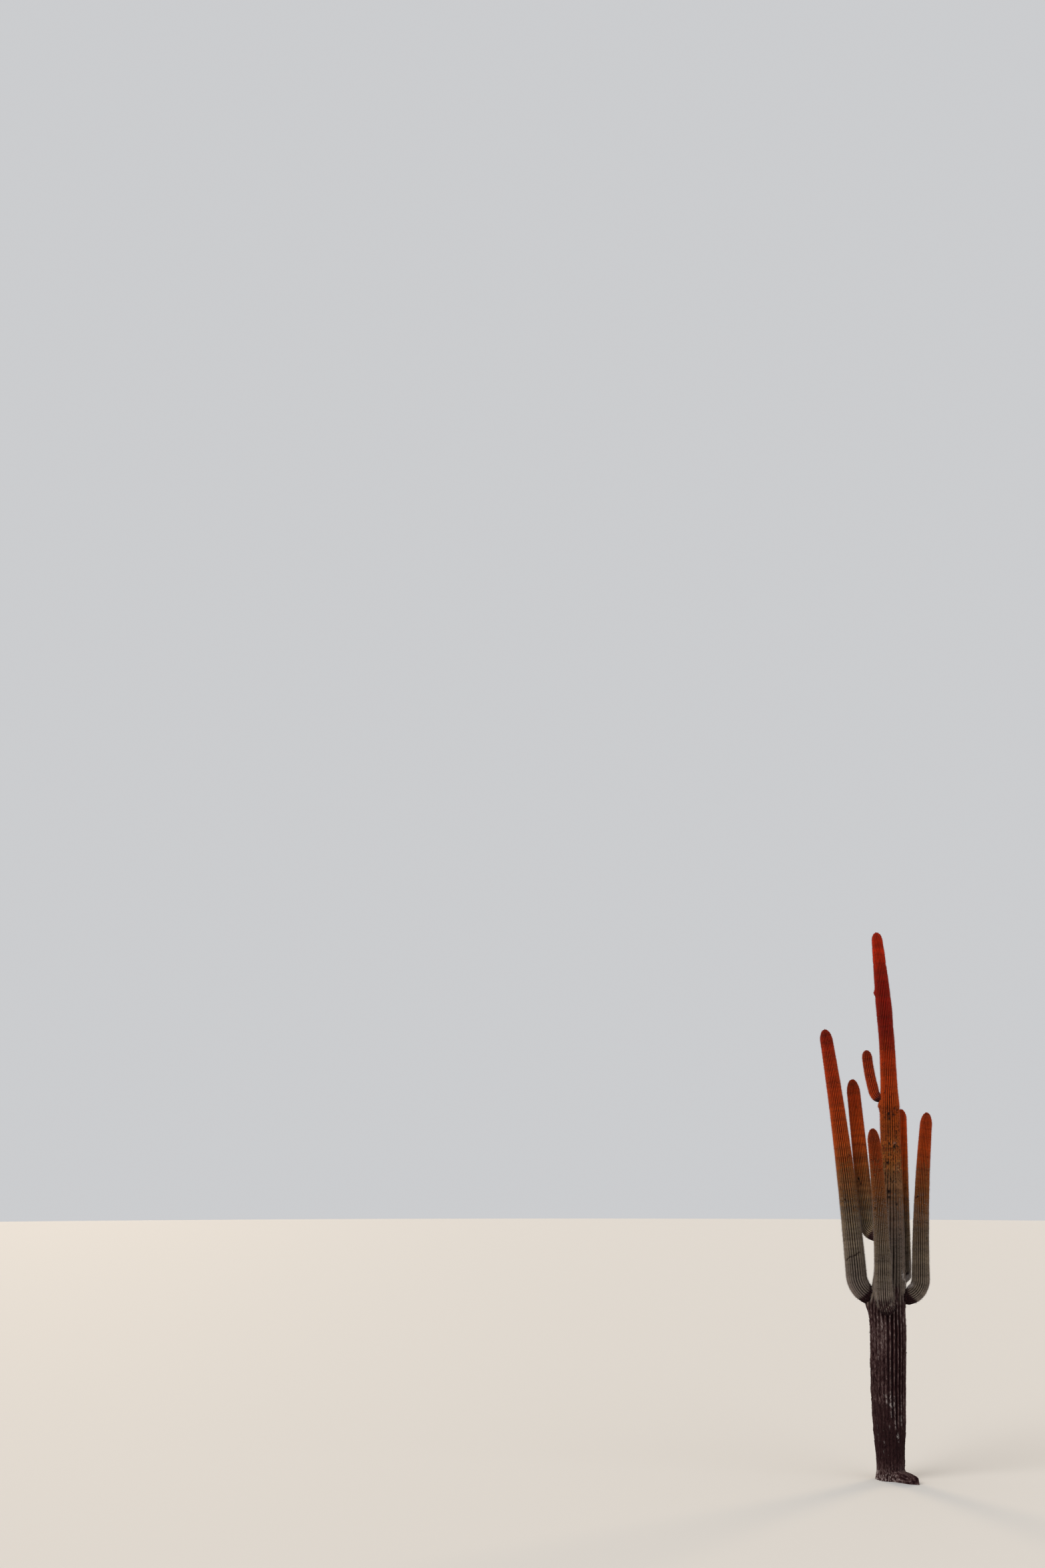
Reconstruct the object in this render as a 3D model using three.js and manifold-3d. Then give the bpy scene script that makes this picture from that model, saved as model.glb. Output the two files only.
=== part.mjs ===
// A saguaro cactus: one ribbed trunk with six upturned arms, rooted in level ground.
// Millimetres, +Z up. The origin is the middle of the flat cut at ground level, and -Y is the front.
import * as THREE from "three";
import { mergeVertices } from "three/addons/utils/BufferGeometryUtils.js";
import Module from "manifold-3d";

// Gaps where two pieces meet
const CUT_GAP = 0.3; // between an elbow and the upright that grows on from it
const SEAT_GAP = 0.6; // straight out from the trunk's line, which leaves 0.3 square to a rib's flank

// Trunk
const HEIGHT = 9000;
const TRUNK_RIBS = 26;
const TRUNK_GROOVE = 0.13; // a groove's depth as a share of the radius
const TRUNK_DOME = 140; // length of the rounded tip
// [height, distance between two rings of points from there up]
const TRUNK_ROWS = [
  [450, 500],
  [2450, 150],
  [3200, 560],
  [5720, 150],
  [6320, 560],
];
// [height, how far the trunk's line has moved to the right]
const TRUNK_LINE = [
  [0, 0],
  [1400, 37],
  [2250, 82],
  [2650, 94],
  [3300, 170],
  [4400, 242],
  [5300, 302],
  [6800, 341],
  [7800, 322],
  [HEIGHT, 272],
];
// [height, radius at the ribs' crests]
const TRUNK_GIRTH = [
  [0, 232],
  [250, 229],
  [1000, 275],
  [2650, 296],
  [3300, 248],
  [4400, 208],
  [5300, 167],
  [5950, 164],
  [6300, 141],
  [7250, 128],
  [7700, 132],
  [8500, 107],
  [HEIGHT, 84],
];

// Foot of the trunk: a low flare all round, and one blunt root that reaches out to the front right
const FLARE = 26;
const FLARE_HEIGHT = 150;
const TOE_REACH = 340;
const TOE_HEIGHT = 148;
const TOE_BLUNTNESS = 8; // the power that keeps its top flat and its end steep
const TOE_BEARING = THREE.MathUtils.degToRad(-43);
const TOE_SPREAD = THREE.MathUtils.degToRad(19);
const FOOT_ROWS = [0, 55, 100, 127, 141, 148, 250];

// Arms
// root: height where the arm leaves the trunk
// bearing, reach: direction in degrees from +X, and distance, from the trunk's line to the foot of
//   the upright seen from above
// aside: how far the root lies off the trunk's line, to the left of that direction
// bend: radius of the elbow
// rise, drift: how far the tip lies above that foot, and to the right and to the back of it
// early: share of the drift that is made in the lower half
// foot, tip: radii, and taper is the power of the change between them
// dome: length of the rounded tip
// collar, drop: how far the trunk swells under the arm, and how far below the root that is
const ARMS = {
  arm_left: {
    root: 2836, bearing: 180, reach: 500, aside: -50, bend: 330, rise: 4143, drift: [-328, 0],
    early: 0.25, foot: 169, tip: 103, taper: 1.2, dome: 200, ribs: 24, collar: 70, drop: 90,
  },
  arm_left_rear: {
    root: 3850, bearing: 146.5, reach: 453, aside: 0, bend: 200, rise: 2405, drift: [-118, 20],
    early: 0.45, foot: 137, tip: 108, taper: 1, dome: 240, ribs: 24, collar: 24, drop: 60,
  },
  arm_front: {
    root: 2700, bearing: 264.8, reach: 552, aside: 55, bend: 250, rise: 2633, drift: [-33, -25],
    early: -1.3, foot: 147, tip: 99, taper: 0.7, dome: 230, ribs: 24, collar: 34, drop: 60,
  },
  arm_right: {
    root: 2840, bearing: 5, reach: 558, aside: 0, bend: 300, rise: 2723, drift: [276, 5],
    early: 0.26, foot: 143, tip: 94, taper: 1, dome: 215, ribs: 24, collar: 4, drop: 60,
  },
  arm_right_rear: {
    root: 3100, bearing: 58.3, reach: 528, aside: 0, bend: 220, rise: 2619, drift: [94, 10],
    early: 0.45, foot: 105, tip: 92, taper: 1, dome: 180, ribs: 20, collar: 10, drop: 60,
  },
  arm_upper: {
    root: 6110, bearing: 173, reach: 257, aside: 0, bend: 125, rise: 703, drift: [-88, 8],
    early: 0.92, foot: 89, tip: 82, taper: 1, dome: 130, ribs: 16, collar: 36, drop: 120,
  },
};
const COLLAR_SPREAD = 0.9; // a collar's half width over the radius at the foot of the upright
const ARM_GROOVE = 0.15;
const ARM_ROW = 560;
const ELBOW_ROWS = 7;
const ELBOW_ROOT_SHARE = 0.94; // radius at the trunk over the radius at the foot of the upright
const ROOT_INSET = 0.4; // an elbow starts this share of the trunk's radius out from its line

// Shapes of curves and meshes
const QUARTER_HANDLE = 0.5523; // handle of a Bezier curve that stands for a quarter circle
const DOME_ROWS = [1, 0.62, 0.34, 0.14, 0.03]; // shares of a dome's length, down from the tip
const MERGE_DISTANCE = 0.001; // points closer than this become one

// Colours of skin and bark
const TRUNK_LOOK = { color: 0x5b5442, roughness: 0.9, metalness: 0 };
const ARM_LOOK = { color: 0x6e7355, roughness: 0.8, metalness: 0 };

// A smooth curve through stations of [place, value], read at one place.
function through(stations, place) {
  const last = stations.length - 2;
  let i = 0;
  while (i < last && place > stations[i + 1][0]) i++;
  const slope = (k) => {
    const [a, b] = [stations[Math.max(k - 1, 0)], stations[Math.min(k + 1, last + 1)]];
    return (b[1] - a[1]) / (b[0] - a[0]);
  };
  const [[p0, v0], [p1, v1]] = [stations[i], stations[i + 1]];
  const span = p1 - p0;
  const t = (place - p0) / span;
  return (
    v0 * (1 + 2 * t) * (1 - t) ** 2 +
    slope(i) * span * t * (1 - t) ** 2 +
    v1 * t * t * (3 - 2 * t) +
    slope(i + 1) * span * t * t * (t - 1)
  );
}

// How far a rounded tip has filled out, from 0 at its end to 1 where the dome is over.
function domeShare(fromTip, length) {
  const t = Math.min(fromTip / length, 1);
  return Math.sqrt(1 - (1 - t) ** 2);
}

// The smallest turn from one angle to another.
function turnBetween(a, b) {
  return Math.atan2(Math.sin(a - b), Math.cos(a - b));
}

// The swelling of the trunk at one angle and height, round the roots of the arms.
function collarSwell(angle, height) {
  let swell = 0;
  for (const arm of Object.values(ARMS)) {
    const girth = through(TRUNK_GIRTH, arm.root);
    const across = turnBetween(angle, THREE.MathUtils.degToRad(arm.bearing)) * girth;
    const up = height - (arm.root - arm.drop);
    swell += arm.collar * Math.exp(-(across ** 2 + up ** 2) / (COLLAR_SPREAD * arm.foot) ** 2);
  }
  return swell;
}

// The flare and the root at the foot of the trunk.
function footSwell(angle, height) {
  const flare = FLARE * Math.max(1 - height / FLARE_HEIGHT, 0) ** 2;
  const side = Math.exp(-((turnBetween(angle, TOE_BEARING) / TOE_SPREAD) ** 2));
  const toe = TOE_REACH * side * Math.max(1 - (height / TOE_HEIGHT) ** TOE_BLUNTNESS, 0);
  return flare + toe;
}

// A closed ribbed solid. Each row gives its middle, the two directions across it, and a radius for
// each angle. Crests and grooves take turns round the row, and a row of no width closes an end.
function ribbed(rows, ribs, groove) {
  const sides = ribs * 2;
  const profile = rows.map((row, j) => new THREE.Vector2(j === 0 || j === rows.length - 1 ? 0 : 1, j));
  const geometry = new THREE.LatheGeometry(profile, sides);
  const place = geometry.attributes.position;
  const point = new THREE.Vector3();
  for (let i = 0; i <= sides; i++) {
    const angle = ((i % sides) / sides) * 2 * Math.PI;
    const share = i % 2 ? 1 - groove : 1;
    rows.forEach((row, j) => {
      const radius = row.radius(angle) * share;
      point.copy(row.middle);
      point.addScaledVector(row.across, radius * Math.cos(angle));
      point.addScaledVector(row.along, radius * Math.sin(angle));
      place.setXYZ(i * rows.length + j, point.x, point.y, point.z);
    });
  }
  geometry.deleteAttribute("normal");
  geometry.deleteAttribute("uv");
  return geometry;
}

// Heights from start to end in even steps of at most step, without the last one.
function evenly(start, end, step) {
  const count = Math.ceil((end - start) / step);
  return Array.from({ length: count }, (_, i) => start + ((end - start) * i) / count);
}

// The trunk, grown outwards by a clearance where it is only a cutter.
function trunkGeometry(clearance = 0) {
  const stretch = ([start, step], i) => {
    const end = i + 1 < TRUNK_ROWS.length ? TRUNK_ROWS[i + 1][0] : HEIGHT - TRUNK_DOME;
    return evenly(start, end, step);
  };
  const heights = [
    ...FOOT_ROWS,
    ...TRUNK_ROWS.flatMap(stretch),
    ...DOME_ROWS.map((share) => HEIGHT - TRUNK_DOME * share),
  ];
  const row = (height, radius) => ({
    middle: new THREE.Vector3(through(TRUNK_LINE, height), 0, height),
    across: new THREE.Vector3(1, 0, 0),
    along: new THREE.Vector3(0, 1, 0),
    radius,
  });
  const rows = heights.map((height) =>
    row(height, (angle) => {
      const girth = through(TRUNK_GIRTH, height) * domeShare(HEIGHT - height, TRUNK_DOME);
      return girth + collarSwell(angle, height) + footSwell(angle, height) + clearance;
    }),
  );
  const closed = () => 0;
  return ribbed([row(0, closed), ...rows, row(HEIGHT, closed)], TRUNK_RIBS, TRUNK_GROOVE);
}

// The line that an arm follows: out from the trunk, round its elbow, and up to its tip.
function armLine(arm) {
  const bearing = THREE.MathUtils.degToRad(arm.bearing);
  const axis = new THREE.Vector3(through(TRUNK_LINE, arm.root), 0, arm.root);
  const under = new THREE.Vector3(Math.cos(bearing), Math.sin(bearing), 0)
    .multiplyScalar(arm.reach)
    .add(axis);
  const root = new THREE.Vector3(-Math.sin(bearing), Math.cos(bearing), 0)
    .multiplyScalar(arm.aside)
    .add(axis);
  const out = under.clone().sub(root).normalize();
  const start = root.addScaledVector(out, ROOT_INSET * through(TRUNK_GIRTH, arm.root));
  const turn = under.clone().addScaledVector(out, -arm.bend);
  const foot = under.clone().setZ(arm.root + arm.bend);
  const [driftX, driftY] = arm.drift;
  const tip = foot.clone().add(new THREE.Vector3(driftX, driftY, arm.rise));
  const waist = foot
    .clone()
    .add(new THREE.Vector3(driftX * arm.early, driftY * arm.early, arm.rise / 2));
  const handle = QUARTER_HANDLE * arm.bend;
  const up = waist.clone().sub(foot).normalize();
  const elbow = new THREE.CurvePath();
  elbow.add(new THREE.LineCurve3(start, turn));
  elbow.add(
    new THREE.CubicBezierCurve3(
      turn,
      turn.clone().addScaledVector(out, handle),
      foot.clone().addScaledVector(up, -handle),
      foot,
    ),
  );
  return { elbow, upright: new THREE.QuadraticBezierCurve3(foot, waist, tip) };
}

// Rows along a curve at given shares of its length, turned on from a starting direction without twist.
function rowsAlong(curve, shares, radiusAt, firstAcross) {
  const across = firstAcross.clone();
  return shares.map((share) => {
    const tangent = curve.getTangentAt(share).normalize();
    across.addScaledVector(tangent, -across.dot(tangent)).normalize();
    const radius = radiusAt(share);
    return {
      middle: curve.getPointAt(share),
      across: across.clone(),
      along: tangent.clone().cross(across),
      tangent,
      radius: () => radius,
    };
  });
}

// The same row, closed to a point at its middle or moved along the limb.
const closedRow = (row) => ({ ...row, radius: () => 0 });
const movedRow = (row, step) => ({
  ...row,
  middle: row.middle.clone().addScaledVector(row.tangent, step),
});

// The elbow and the upright of one arm.
function armGeometries(arm) {
  const { elbow, upright } = armLine(arm);
  const elbowShares = Array.from({ length: ELBOW_ROWS }, (_, i) => i / (ELBOW_ROWS - 1));
  const elbowRadius = (share) =>
    arm.foot * THREE.MathUtils.lerp(ELBOW_ROOT_SHARE, 1, THREE.MathUtils.smoothstep(share, 0, 1));
  const elbowRows = rowsAlong(elbow, elbowShares, elbowRadius, new THREE.Vector3(0, 0, 1));

  const length = upright.getLength();
  const uprightShares = [
    ...evenly(0, length - arm.dome, ARM_ROW),
    ...DOME_ROWS.map((share) => length - arm.dome * share),
    length,
  ].map((place) => place / length);
  const uprightRadius = (share) =>
    (arm.foot + (arm.tip - arm.foot) * share ** arm.taper) *
    domeShare((1 - share) * length, arm.dome);
  const lastAcross = elbowRows[elbowRows.length - 1].across;
  const uprightRows = rowsAlong(upright, uprightShares, uprightRadius, lastAcross);
  uprightRows[0] = movedRow(uprightRows[0], CUT_GAP);

  return {
    elbow: ribbed(
      [closedRow(elbowRows[0]), ...elbowRows, closedRow(elbowRows[elbowRows.length - 1])],
      arm.ribs,
      ARM_GROOVE,
    ),
    upright: ribbed([closedRow(uprightRows[0]), ...uprightRows], arm.ribs, ARM_GROOVE),
  };
}

const wasm = await Module();
wasm.setup();

// The largest body of a solid, without the slivers that a cut leaves in the grooves.
function largestBody(solid) {
  return solid.decompose().reduce((a, b) => (b.volume() > a.volume() ? b : a));
}

// A closed geometry as a solid that can be cut.
function solidOf(geometry) {
  const merged = mergeVertices(geometry, MERGE_DISTANCE);
  return new wasm.Manifold(
    new wasm.Mesh({
      numProp: 3,
      vertProperties: new Float32Array(merged.attributes.position.array),
      triVerts: new Uint32Array(merged.index.array),
    }),
  );
}

// A solid as a geometry again.
function geometryOf(solid) {
  const mesh = solid.getMesh();
  return new THREE.BufferGeometry()
    .setAttribute("position", new THREE.BufferAttribute(new Float32Array(mesh.vertProperties), 3))
    .setIndex(new THREE.BufferAttribute(new Uint32Array(mesh.triVerts), 1));
}

const cactus = new THREE.Group();
const trunkMaterial = new THREE.MeshStandardMaterial(TRUNK_LOOK);
const armMaterial = new THREE.MeshStandardMaterial(ARM_LOOK);

function addPiece(name, geometry, material) {
  const mesh = new THREE.Mesh(geometry, material);
  mesh.name = name;
  cactus.add(mesh);
}

addPiece("trunk", trunkGeometry(), trunkMaterial);
const seatCutter = solidOf(trunkGeometry(SEAT_GAP));
for (const [name, arm] of Object.entries(ARMS)) {
  const { elbow, upright } = armGeometries(arm);
  const cut = largestBody(solidOf(elbow).subtract(seatCutter));
  addPiece(`${name}_elbow`, geometryOf(cut), armMaterial);
  addPiece(name, upright, armMaterial);
}

export default cactus;
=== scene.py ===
# %% [markdown]
# A saguaro cactus in studio light
#
# This notebook dresses a tall saguaro: one ribbed trunk with six upturned arms. A packed model of
# plain solids gives its sizes. Each solid is replaced here by a finer skin at the same place, with
# rounded ribs, cork, scars and rows of spines. Everything is in metres, +Z is up, and the origin is
# the middle of the flat cut at ground level.

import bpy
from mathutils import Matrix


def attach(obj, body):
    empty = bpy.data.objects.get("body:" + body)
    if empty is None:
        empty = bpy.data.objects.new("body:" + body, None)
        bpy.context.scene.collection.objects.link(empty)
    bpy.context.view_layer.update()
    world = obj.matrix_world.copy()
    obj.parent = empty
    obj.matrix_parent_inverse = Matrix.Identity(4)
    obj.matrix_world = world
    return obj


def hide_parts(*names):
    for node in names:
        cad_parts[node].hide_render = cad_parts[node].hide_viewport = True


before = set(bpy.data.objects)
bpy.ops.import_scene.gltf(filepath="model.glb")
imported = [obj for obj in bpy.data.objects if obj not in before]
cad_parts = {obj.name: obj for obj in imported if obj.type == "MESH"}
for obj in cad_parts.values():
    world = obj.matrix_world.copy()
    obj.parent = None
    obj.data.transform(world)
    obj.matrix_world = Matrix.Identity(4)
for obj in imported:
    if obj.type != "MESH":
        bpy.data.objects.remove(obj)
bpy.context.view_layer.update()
print("solids:", sorted(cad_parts))

# %% Libraries
import math

import bpy
import numpy as np
from mathutils import Vector, noise

# %% [markdown]
# The camera
#
# A camera's view is its place, where it points, and its lens. The sensor's width belongs to the
# longer side of the picture, so on an upright picture it sets the height of the view. The camera
# stands far off, a little higher than the plant's middle, and points up and to the left past it:
# that is why the plant stands low and to the right in the picture.

# %% The camera
LENS = 35
SENSOR = 36
CAMERA_PLACE = (0.0, -27.66, 4.795)
TILT_UP = math.radians(14.44)
TURN_LEFT = math.radians(12.6)

camera = bpy.data.objects.new("camera", bpy.data.cameras.new("camera"))
camera.data.lens = LENS
camera.data.sensor_width = SENSOR
camera.location = CAMERA_PLACE
camera.rotation_euler = (math.pi / 2 + TILT_UP, 0, TURN_LEFT)
bpy.context.scene.collection.objects.link(camera)
bpy.context.scene.camera = camera
print("camera stands", round(-CAMERA_PLACE[1], 2), "m in front of the trunk")

# %% [markdown]
# Smooth curves through a few stations
#
# A trunk's line and girth change slowly, so a few measured heights describe them. Straight lines
# between the heights would show as kinks. A Hermite curve passes through every station with a slope
# taken from its neighbours, and it works on a whole numpy array of heights at once.


# %% A smooth curve through stations
def through(stations, place):
    """The value at place of a smooth curve through stations of (place, value)."""
    places, values = np.array(stations, float).T
    slopes = np.gradient(values, places)
    slopes[1:-1] = (values[2:] - values[:-2]) / (places[2:] - places[:-2])
    i = np.clip(np.searchsorted(places, place) - 1, 0, len(places) - 2)
    span = places[i + 1] - places[i]
    t = (place - places[i]) / span
    rising = values[i + 1] * t * t * (3 - 2 * t) + slopes[i + 1] * span * t * t * (t - 1)
    falling = values[i] * (1 + 2 * t) * (1 - t) ** 2 + slopes[i] * span * t * (1 - t) ** 2
    return rising + falling


print("between the stations 0, 1 and 4:", through([(0, 0), (1, 1), (2, 4)], np.array([0.5, 1.5])).round(2))

# %% The trunk's line and girth
HEIGHT = 9.0
TRUNK_RIBS = 26
TRUNK_DOME = 0.14
# height, and how far the trunk's middle is off to the right
TRUNK_LINE = [
    (0, 0), (1.4, 0.037), (2.25, 0.082), (2.65, 0.094), (3.3, 0.17), (4.4, 0.242), (5.3, 0.302),
    (6.8, 0.341), (7.8, 0.322), (HEIGHT, 0.272),
]
# height, and the trunk's radius at its crests
TRUNK_GIRTH = [
    (0, 0.232), (0.25, 0.229), (1.0, 0.275), (2.65, 0.296), (3.3, 0.248), (4.4, 0.208), (5.3, 0.167),
    (5.95, 0.164), (6.3, 0.141), (7.25, 0.128), (7.7, 0.132), (8.5, 0.107), (HEIGHT, 0.084),
]
print("the trunk is", round(2 * float(through(TRUNK_GIRTH, 2.65)), 2), "m through below its arms")

# %% [markdown]
# The arms
#
# An arm leaves the trunk at its root, runs straight out, turns up in a quarter circle and ends in
# a dome. So a handful of numbers is enough for each: where its root is, which way and how far it
# reaches, how tight it bends, and where its tip stands over its foot. The trunk swells a little
# under each arm, which collar and drop say. The last three are for the finish: hue is how far down
# an arm keeps the colours of greater heights, the next is painted light and shade that makes an
# arm's skin paler or darker from its foot to its tip, to even out how the studio light falls on
# it, and knee is how far up from its lowest point the skin is corky.

# %% Sizes of the arms
# root: the height at which it leaves the trunk. bearing: its direction, in degrees from +X. reach: how
# far out it turns up. aside: how far its root is off the trunk's middle. bend: the radius of its turn.
# rise, drift: where its tip is over its foot. early: the share of the drift at its curve's middle handle.
# foot, tip, taper: its radius at both ends and how one becomes the other. dome: the length of its tip
# each arm's painted light and shade, from its foot to its tip, evens out how the studio lamps light and
# shade the arms
ARMS = {
    "arm_left": dict(
        root=2.836, bearing=180, reach=0.5, aside=-0.05, bend=0.33, rise=4.143, drift=(-0.328, 0),
        early=0.25, foot=0.169, tip=0.103, taper=1.2, dome=0.2, ribs=24, collar=0.07, drop=0.09,
        hue=0, bright=(1.0, 1.1), knee=0,
    ),
    "arm_left_rear": dict(
        root=3.85, bearing=146.5, reach=0.453, aside=0, bend=0.2, rise=2.405, drift=(-0.118, 0.02),
        early=0.45, foot=0.137, tip=0.108, taper=1, dome=0.24, ribs=24, collar=0.024, drop=0.06,
        hue=0, bright=(2.2, 1.0), knee=0,
    ),
    "arm_front": dict(
        root=2.7, bearing=264.8, reach=0.552, aside=0.055, bend=0.25, rise=2.633,
        drift=(-0.033, -0.025), early=-1.3, foot=0.147, tip=0.099, taper=0.7, dome=0.23, ribs=24,
        collar=0.034, drop=0.06, hue=0.35, bright=(0.86, 0.58), knee=0.3,
    ),
    "arm_right": dict(
        root=2.84, bearing=5, reach=0.558, aside=0, bend=0.3, rise=2.723, drift=(0.276, 0.005),
        early=0.26, foot=0.143, tip=0.094, taper=1, dome=0.215, ribs=24, collar=0.004, drop=0.06,
        hue=0.42, bright=(0.94, 0.84, 0.74, 1.12), knee=0,
    ),
    "arm_right_rear": dict(
        root=3.1, bearing=58.3, reach=0.528, aside=0, bend=0.22, rise=2.619, drift=(0.094, 0.01),
        early=0.45, foot=0.105, tip=0.092, taper=1, dome=0.18, ribs=20, collar=0.01, drop=0.06,
        hue=0.3, bright=(1.1, 1.75), knee=0,
    ),
    "arm_upper": dict(
        root=6.11, bearing=173, reach=0.257, aside=0, bend=0.125, rise=0.703, drift=(-0.088, 0.008),
        early=0.92, foot=0.089, tip=0.082, taper=1, dome=0.13, ribs=16, collar=0.036, drop=0.12,
        hue=0, bright=(0.9, 0.9), knee=0,
    ),
}
print("arms:", ", ".join(ARMS))


# %% Curves that are used throughout
def turn_between(a, b):
    """The smallest turn from one angle to another."""
    return np.arctan2(np.sin(a - b), np.cos(a - b))


def dome_share(from_tip, length):
    """How far a rounded tip has filled out, from 0 at its end to 1."""
    return np.sqrt(1 - (1 - np.clip(from_tip / length, 0, 1)) ** 2)


def smooth(low, high, value):
    """0 below low, 1 above high and an S between them. With low above high it falls instead."""
    t = np.clip((value - low) / (high - low), 0, 1)
    return t * t * (3 - 2 * t)


short_way = turn_between(math.radians(-170), math.radians(170))
print("from 170 to -170 degrees is a turn of", round(math.degrees(short_way)), "degrees")

# %% Swellings of the trunk
# how wide a swelling is, in radii of the arm's foot, and how far the flare stands out and how high it goes
COLLAR_SPREAD = 0.9
FLARE, FLARE_HEIGHT = 0.026, 0.15
# the root at the front right: its reach, height and bluntness, its bearing and how wide it is
TOE_REACH, TOE_HEIGHT, TOE_BLUNTNESS = 0.34, 0.148, 8
TOE_BEARING, TOE_SPREAD = math.radians(-43), math.radians(19)


def collar_swell(angle, height):
    """How far the trunk bulges round the roots of its arms."""
    swell = 0
    for arm in ARMS.values():
        girth = through(TRUNK_GIRTH, arm["root"])
        across = turn_between(angle, math.radians(arm["bearing"])) * girth
        up = height - (arm["root"] - arm["drop"])
        spread = COLLAR_SPREAD * arm["foot"]
        swell = swell + arm["collar"] * np.exp(-(across**2 + up**2) / spread**2)
    return swell


def foot_swell(angle, height):
    """The low flare at the ground, and the one blunt root at the front right."""
    flare = FLARE * np.clip(1 - height / FLARE_HEIGHT, 0, None) ** 2
    side = np.exp(-((turn_between(angle, TOE_BEARING) / TOE_SPREAD) ** 2))
    return flare + TOE_REACH * side * np.clip(1 - (height / TOE_HEIGHT) ** TOE_BLUNTNESS, 0, None)


print("the root reaches", round(float(foot_swell(TOE_BEARING, 0)), 2), "m past the trunk")

# %% [markdown]
# The shape of a rib
#
# A saguaro's skin is pleated so that the plant can swell after rain. A pleat has a rounded crest,
# where the spines sit, and a sharp groove. A modifier could displace a smooth tube, but it would
# round the grooves as well, so the ribs are worked out directly: a cosine gives the round crest and
# a straight flank the sharp groove. Each ring of points goes once through all ribs.

# %% Ribs round a ring
# the share of a pleat's depth that its round crest takes. The straight flank takes the rest
ROUND_CREST = 0.6


def rib_drop(steps, ribs):
    """Around a ring with that many points a rib: 0 on a crest, 1 at the bottom of a groove."""
    turn = np.arange(steps * ribs) / steps
    away = 2 * np.abs(turn - np.round(turn))
    return ROUND_CREST * (1 - np.cos(away * math.pi / 2)) + (1 - ROUND_CREST) * away


print("one rib, crest to crest:", rib_drop(8, 1).round(2))

# %% [markdown]
# Unevenness
#
# The skin of a plant is nowhere quite even. A Displace modifier could move its points, but the same
# unevenness is wanted for the colours too. So Blender's noise is asked for its value at every point, and
# the values are kept as an array. Fractal noise is a sum of finer and finer octaves. A seed moves the
# whole pattern, so that each use of it looks different and still comes out the same on every run.

# %% Relief from noise
# how far a seed moves the noise, how fast its finer octaves fade, and how much finer each one is
SEED_STEPS = (7.3, 3.1, 5.7)
NOISE_FADE, NOISE_STEP = 0.8, 2.1


def relief(points, scale, seed, octaves=3):
    """Smooth noise between about -1 and 1 at each point, with its own scale along x, y and z."""
    shift = Vector([seed * step for step in SEED_STEPS])
    places = np.asarray(points).reshape(-1, 3) / np.array(scale)
    values = [noise.fractal(Vector(p) + shift, NOISE_FADE, NOISE_STEP, octaves) for p in places]
    return np.array(values).reshape(np.shape(points)[:-1])


print("noise at three points:", relief(np.eye(3), (0.4, 0.4, 0.4), 1).round(2))

# %% Bands of growth
# the length of a band, how far waves in the skin push it up or down, and its octaves of noise
BAND_LENGTH, BAND_WOBBLE, BAND_OCTAVES = 0.052, 0.02, 4


def growth_bands(along, waves, seed):
    """Paler and darker rings of growth along a limb, between about -1 and 1."""
    place = along + BAND_WOBBLE * waves
    return relief(np.stack([0 * place, 0 * place, place], -1), (1, 1, BAND_LENGTH), seed, BAND_OCTAVES)


print("bands at three heights:", growth_bands(np.array([1.0, 1.05, 1.1]), 0, 1).round(2))

# %% [markdown]
# A mesh from arrays
#
# Blender's mesh can be filled from numpy arrays in one go, which is much quicker than adding one
# face at a time. Each piece here is a mesh of this kind. The skins also keep numbers for each point,
# such as how near it is to a crest, and a material reads them by name.

# %% A mesh filled from arrays
def filled_mesh(name, points, faces, smooth_faces):
    """A mesh from an array of points and a list of arrays of faces."""
    mesh = bpy.data.meshes.new(name)
    corners = np.concatenate([group.ravel() for group in faces])
    sizes = np.concatenate([np.full(len(group), group.shape[1]) for group in faces])
    starts = np.concatenate([[0], np.cumsum(sizes)[:-1]])
    mesh.vertices.add(len(points))
    mesh.vertices.foreach_set("co", np.asarray(points, np.float32).ravel())
    mesh.loops.add(len(corners))
    mesh.loops.foreach_set("vertex_index", corners.astype(np.int32))
    mesh.polygons.add(len(sizes))
    mesh.polygons.foreach_set("loop_start", starts.astype(np.int32))
    mesh.polygons.foreach_set("use_smooth", np.full(len(sizes), smooth_faces))
    mesh.update(calc_edges=True)
    return mesh


# %% A piece of the plant
PIECES = {}


def add_piece(name, points, faces, places, replaced=(), numbers=None, smooth_faces=True):
    """A piece of the plant, with its places on the texture sheet and the numbers that its points carry."""
    mesh = filled_mesh(name, points, faces, smooth_faces)
    for key, values in (numbers or {}).items():
        layer = mesh.attributes.new(key, "FLOAT", "POINT")
        layer.data.foreach_set("value", values.astype(np.float32))
    layer = mesh.uv_layers.new(name="OFBake")
    layer.uv.foreach_set("vector", np.asarray(places, np.float32).ravel())
    piece = bpy.data.objects.new(name, mesh)
    bpy.context.scene.collection.objects.link(piece)
    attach(piece, "root")
    if replaced:
        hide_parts(*replaced)
    PIECES[name] = piece
    print(name, "has", sum(len(group) * (group.shape[1] - 2) for group in faces), "triangles")


# %% [markdown]
# A ribbed limb as a grid
#
# The trunk and the arms are made the same way. Rings of points stand along a line, and each ring has
# the same number of points, so the skin is a grid: rows along the limb, columns around it. A grid is
# easy to carry relief, to unfold for a texture, and to walk along when the spines are set.


# %% A grid skin
def limb_points(middles, across, along, radii):
    """Points of a grid: one row a ring, one column an angle. radii has the shape of the grid."""
    turn = np.linspace(0, 2 * math.pi, radii.shape[1], endpoint=False)
    wide = np.cos(turn)[None, :, None] * across[:, None] + np.sin(turn)[None, :, None] * along[:, None]
    return middles[:, None] + wide * radii[..., None]


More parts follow.
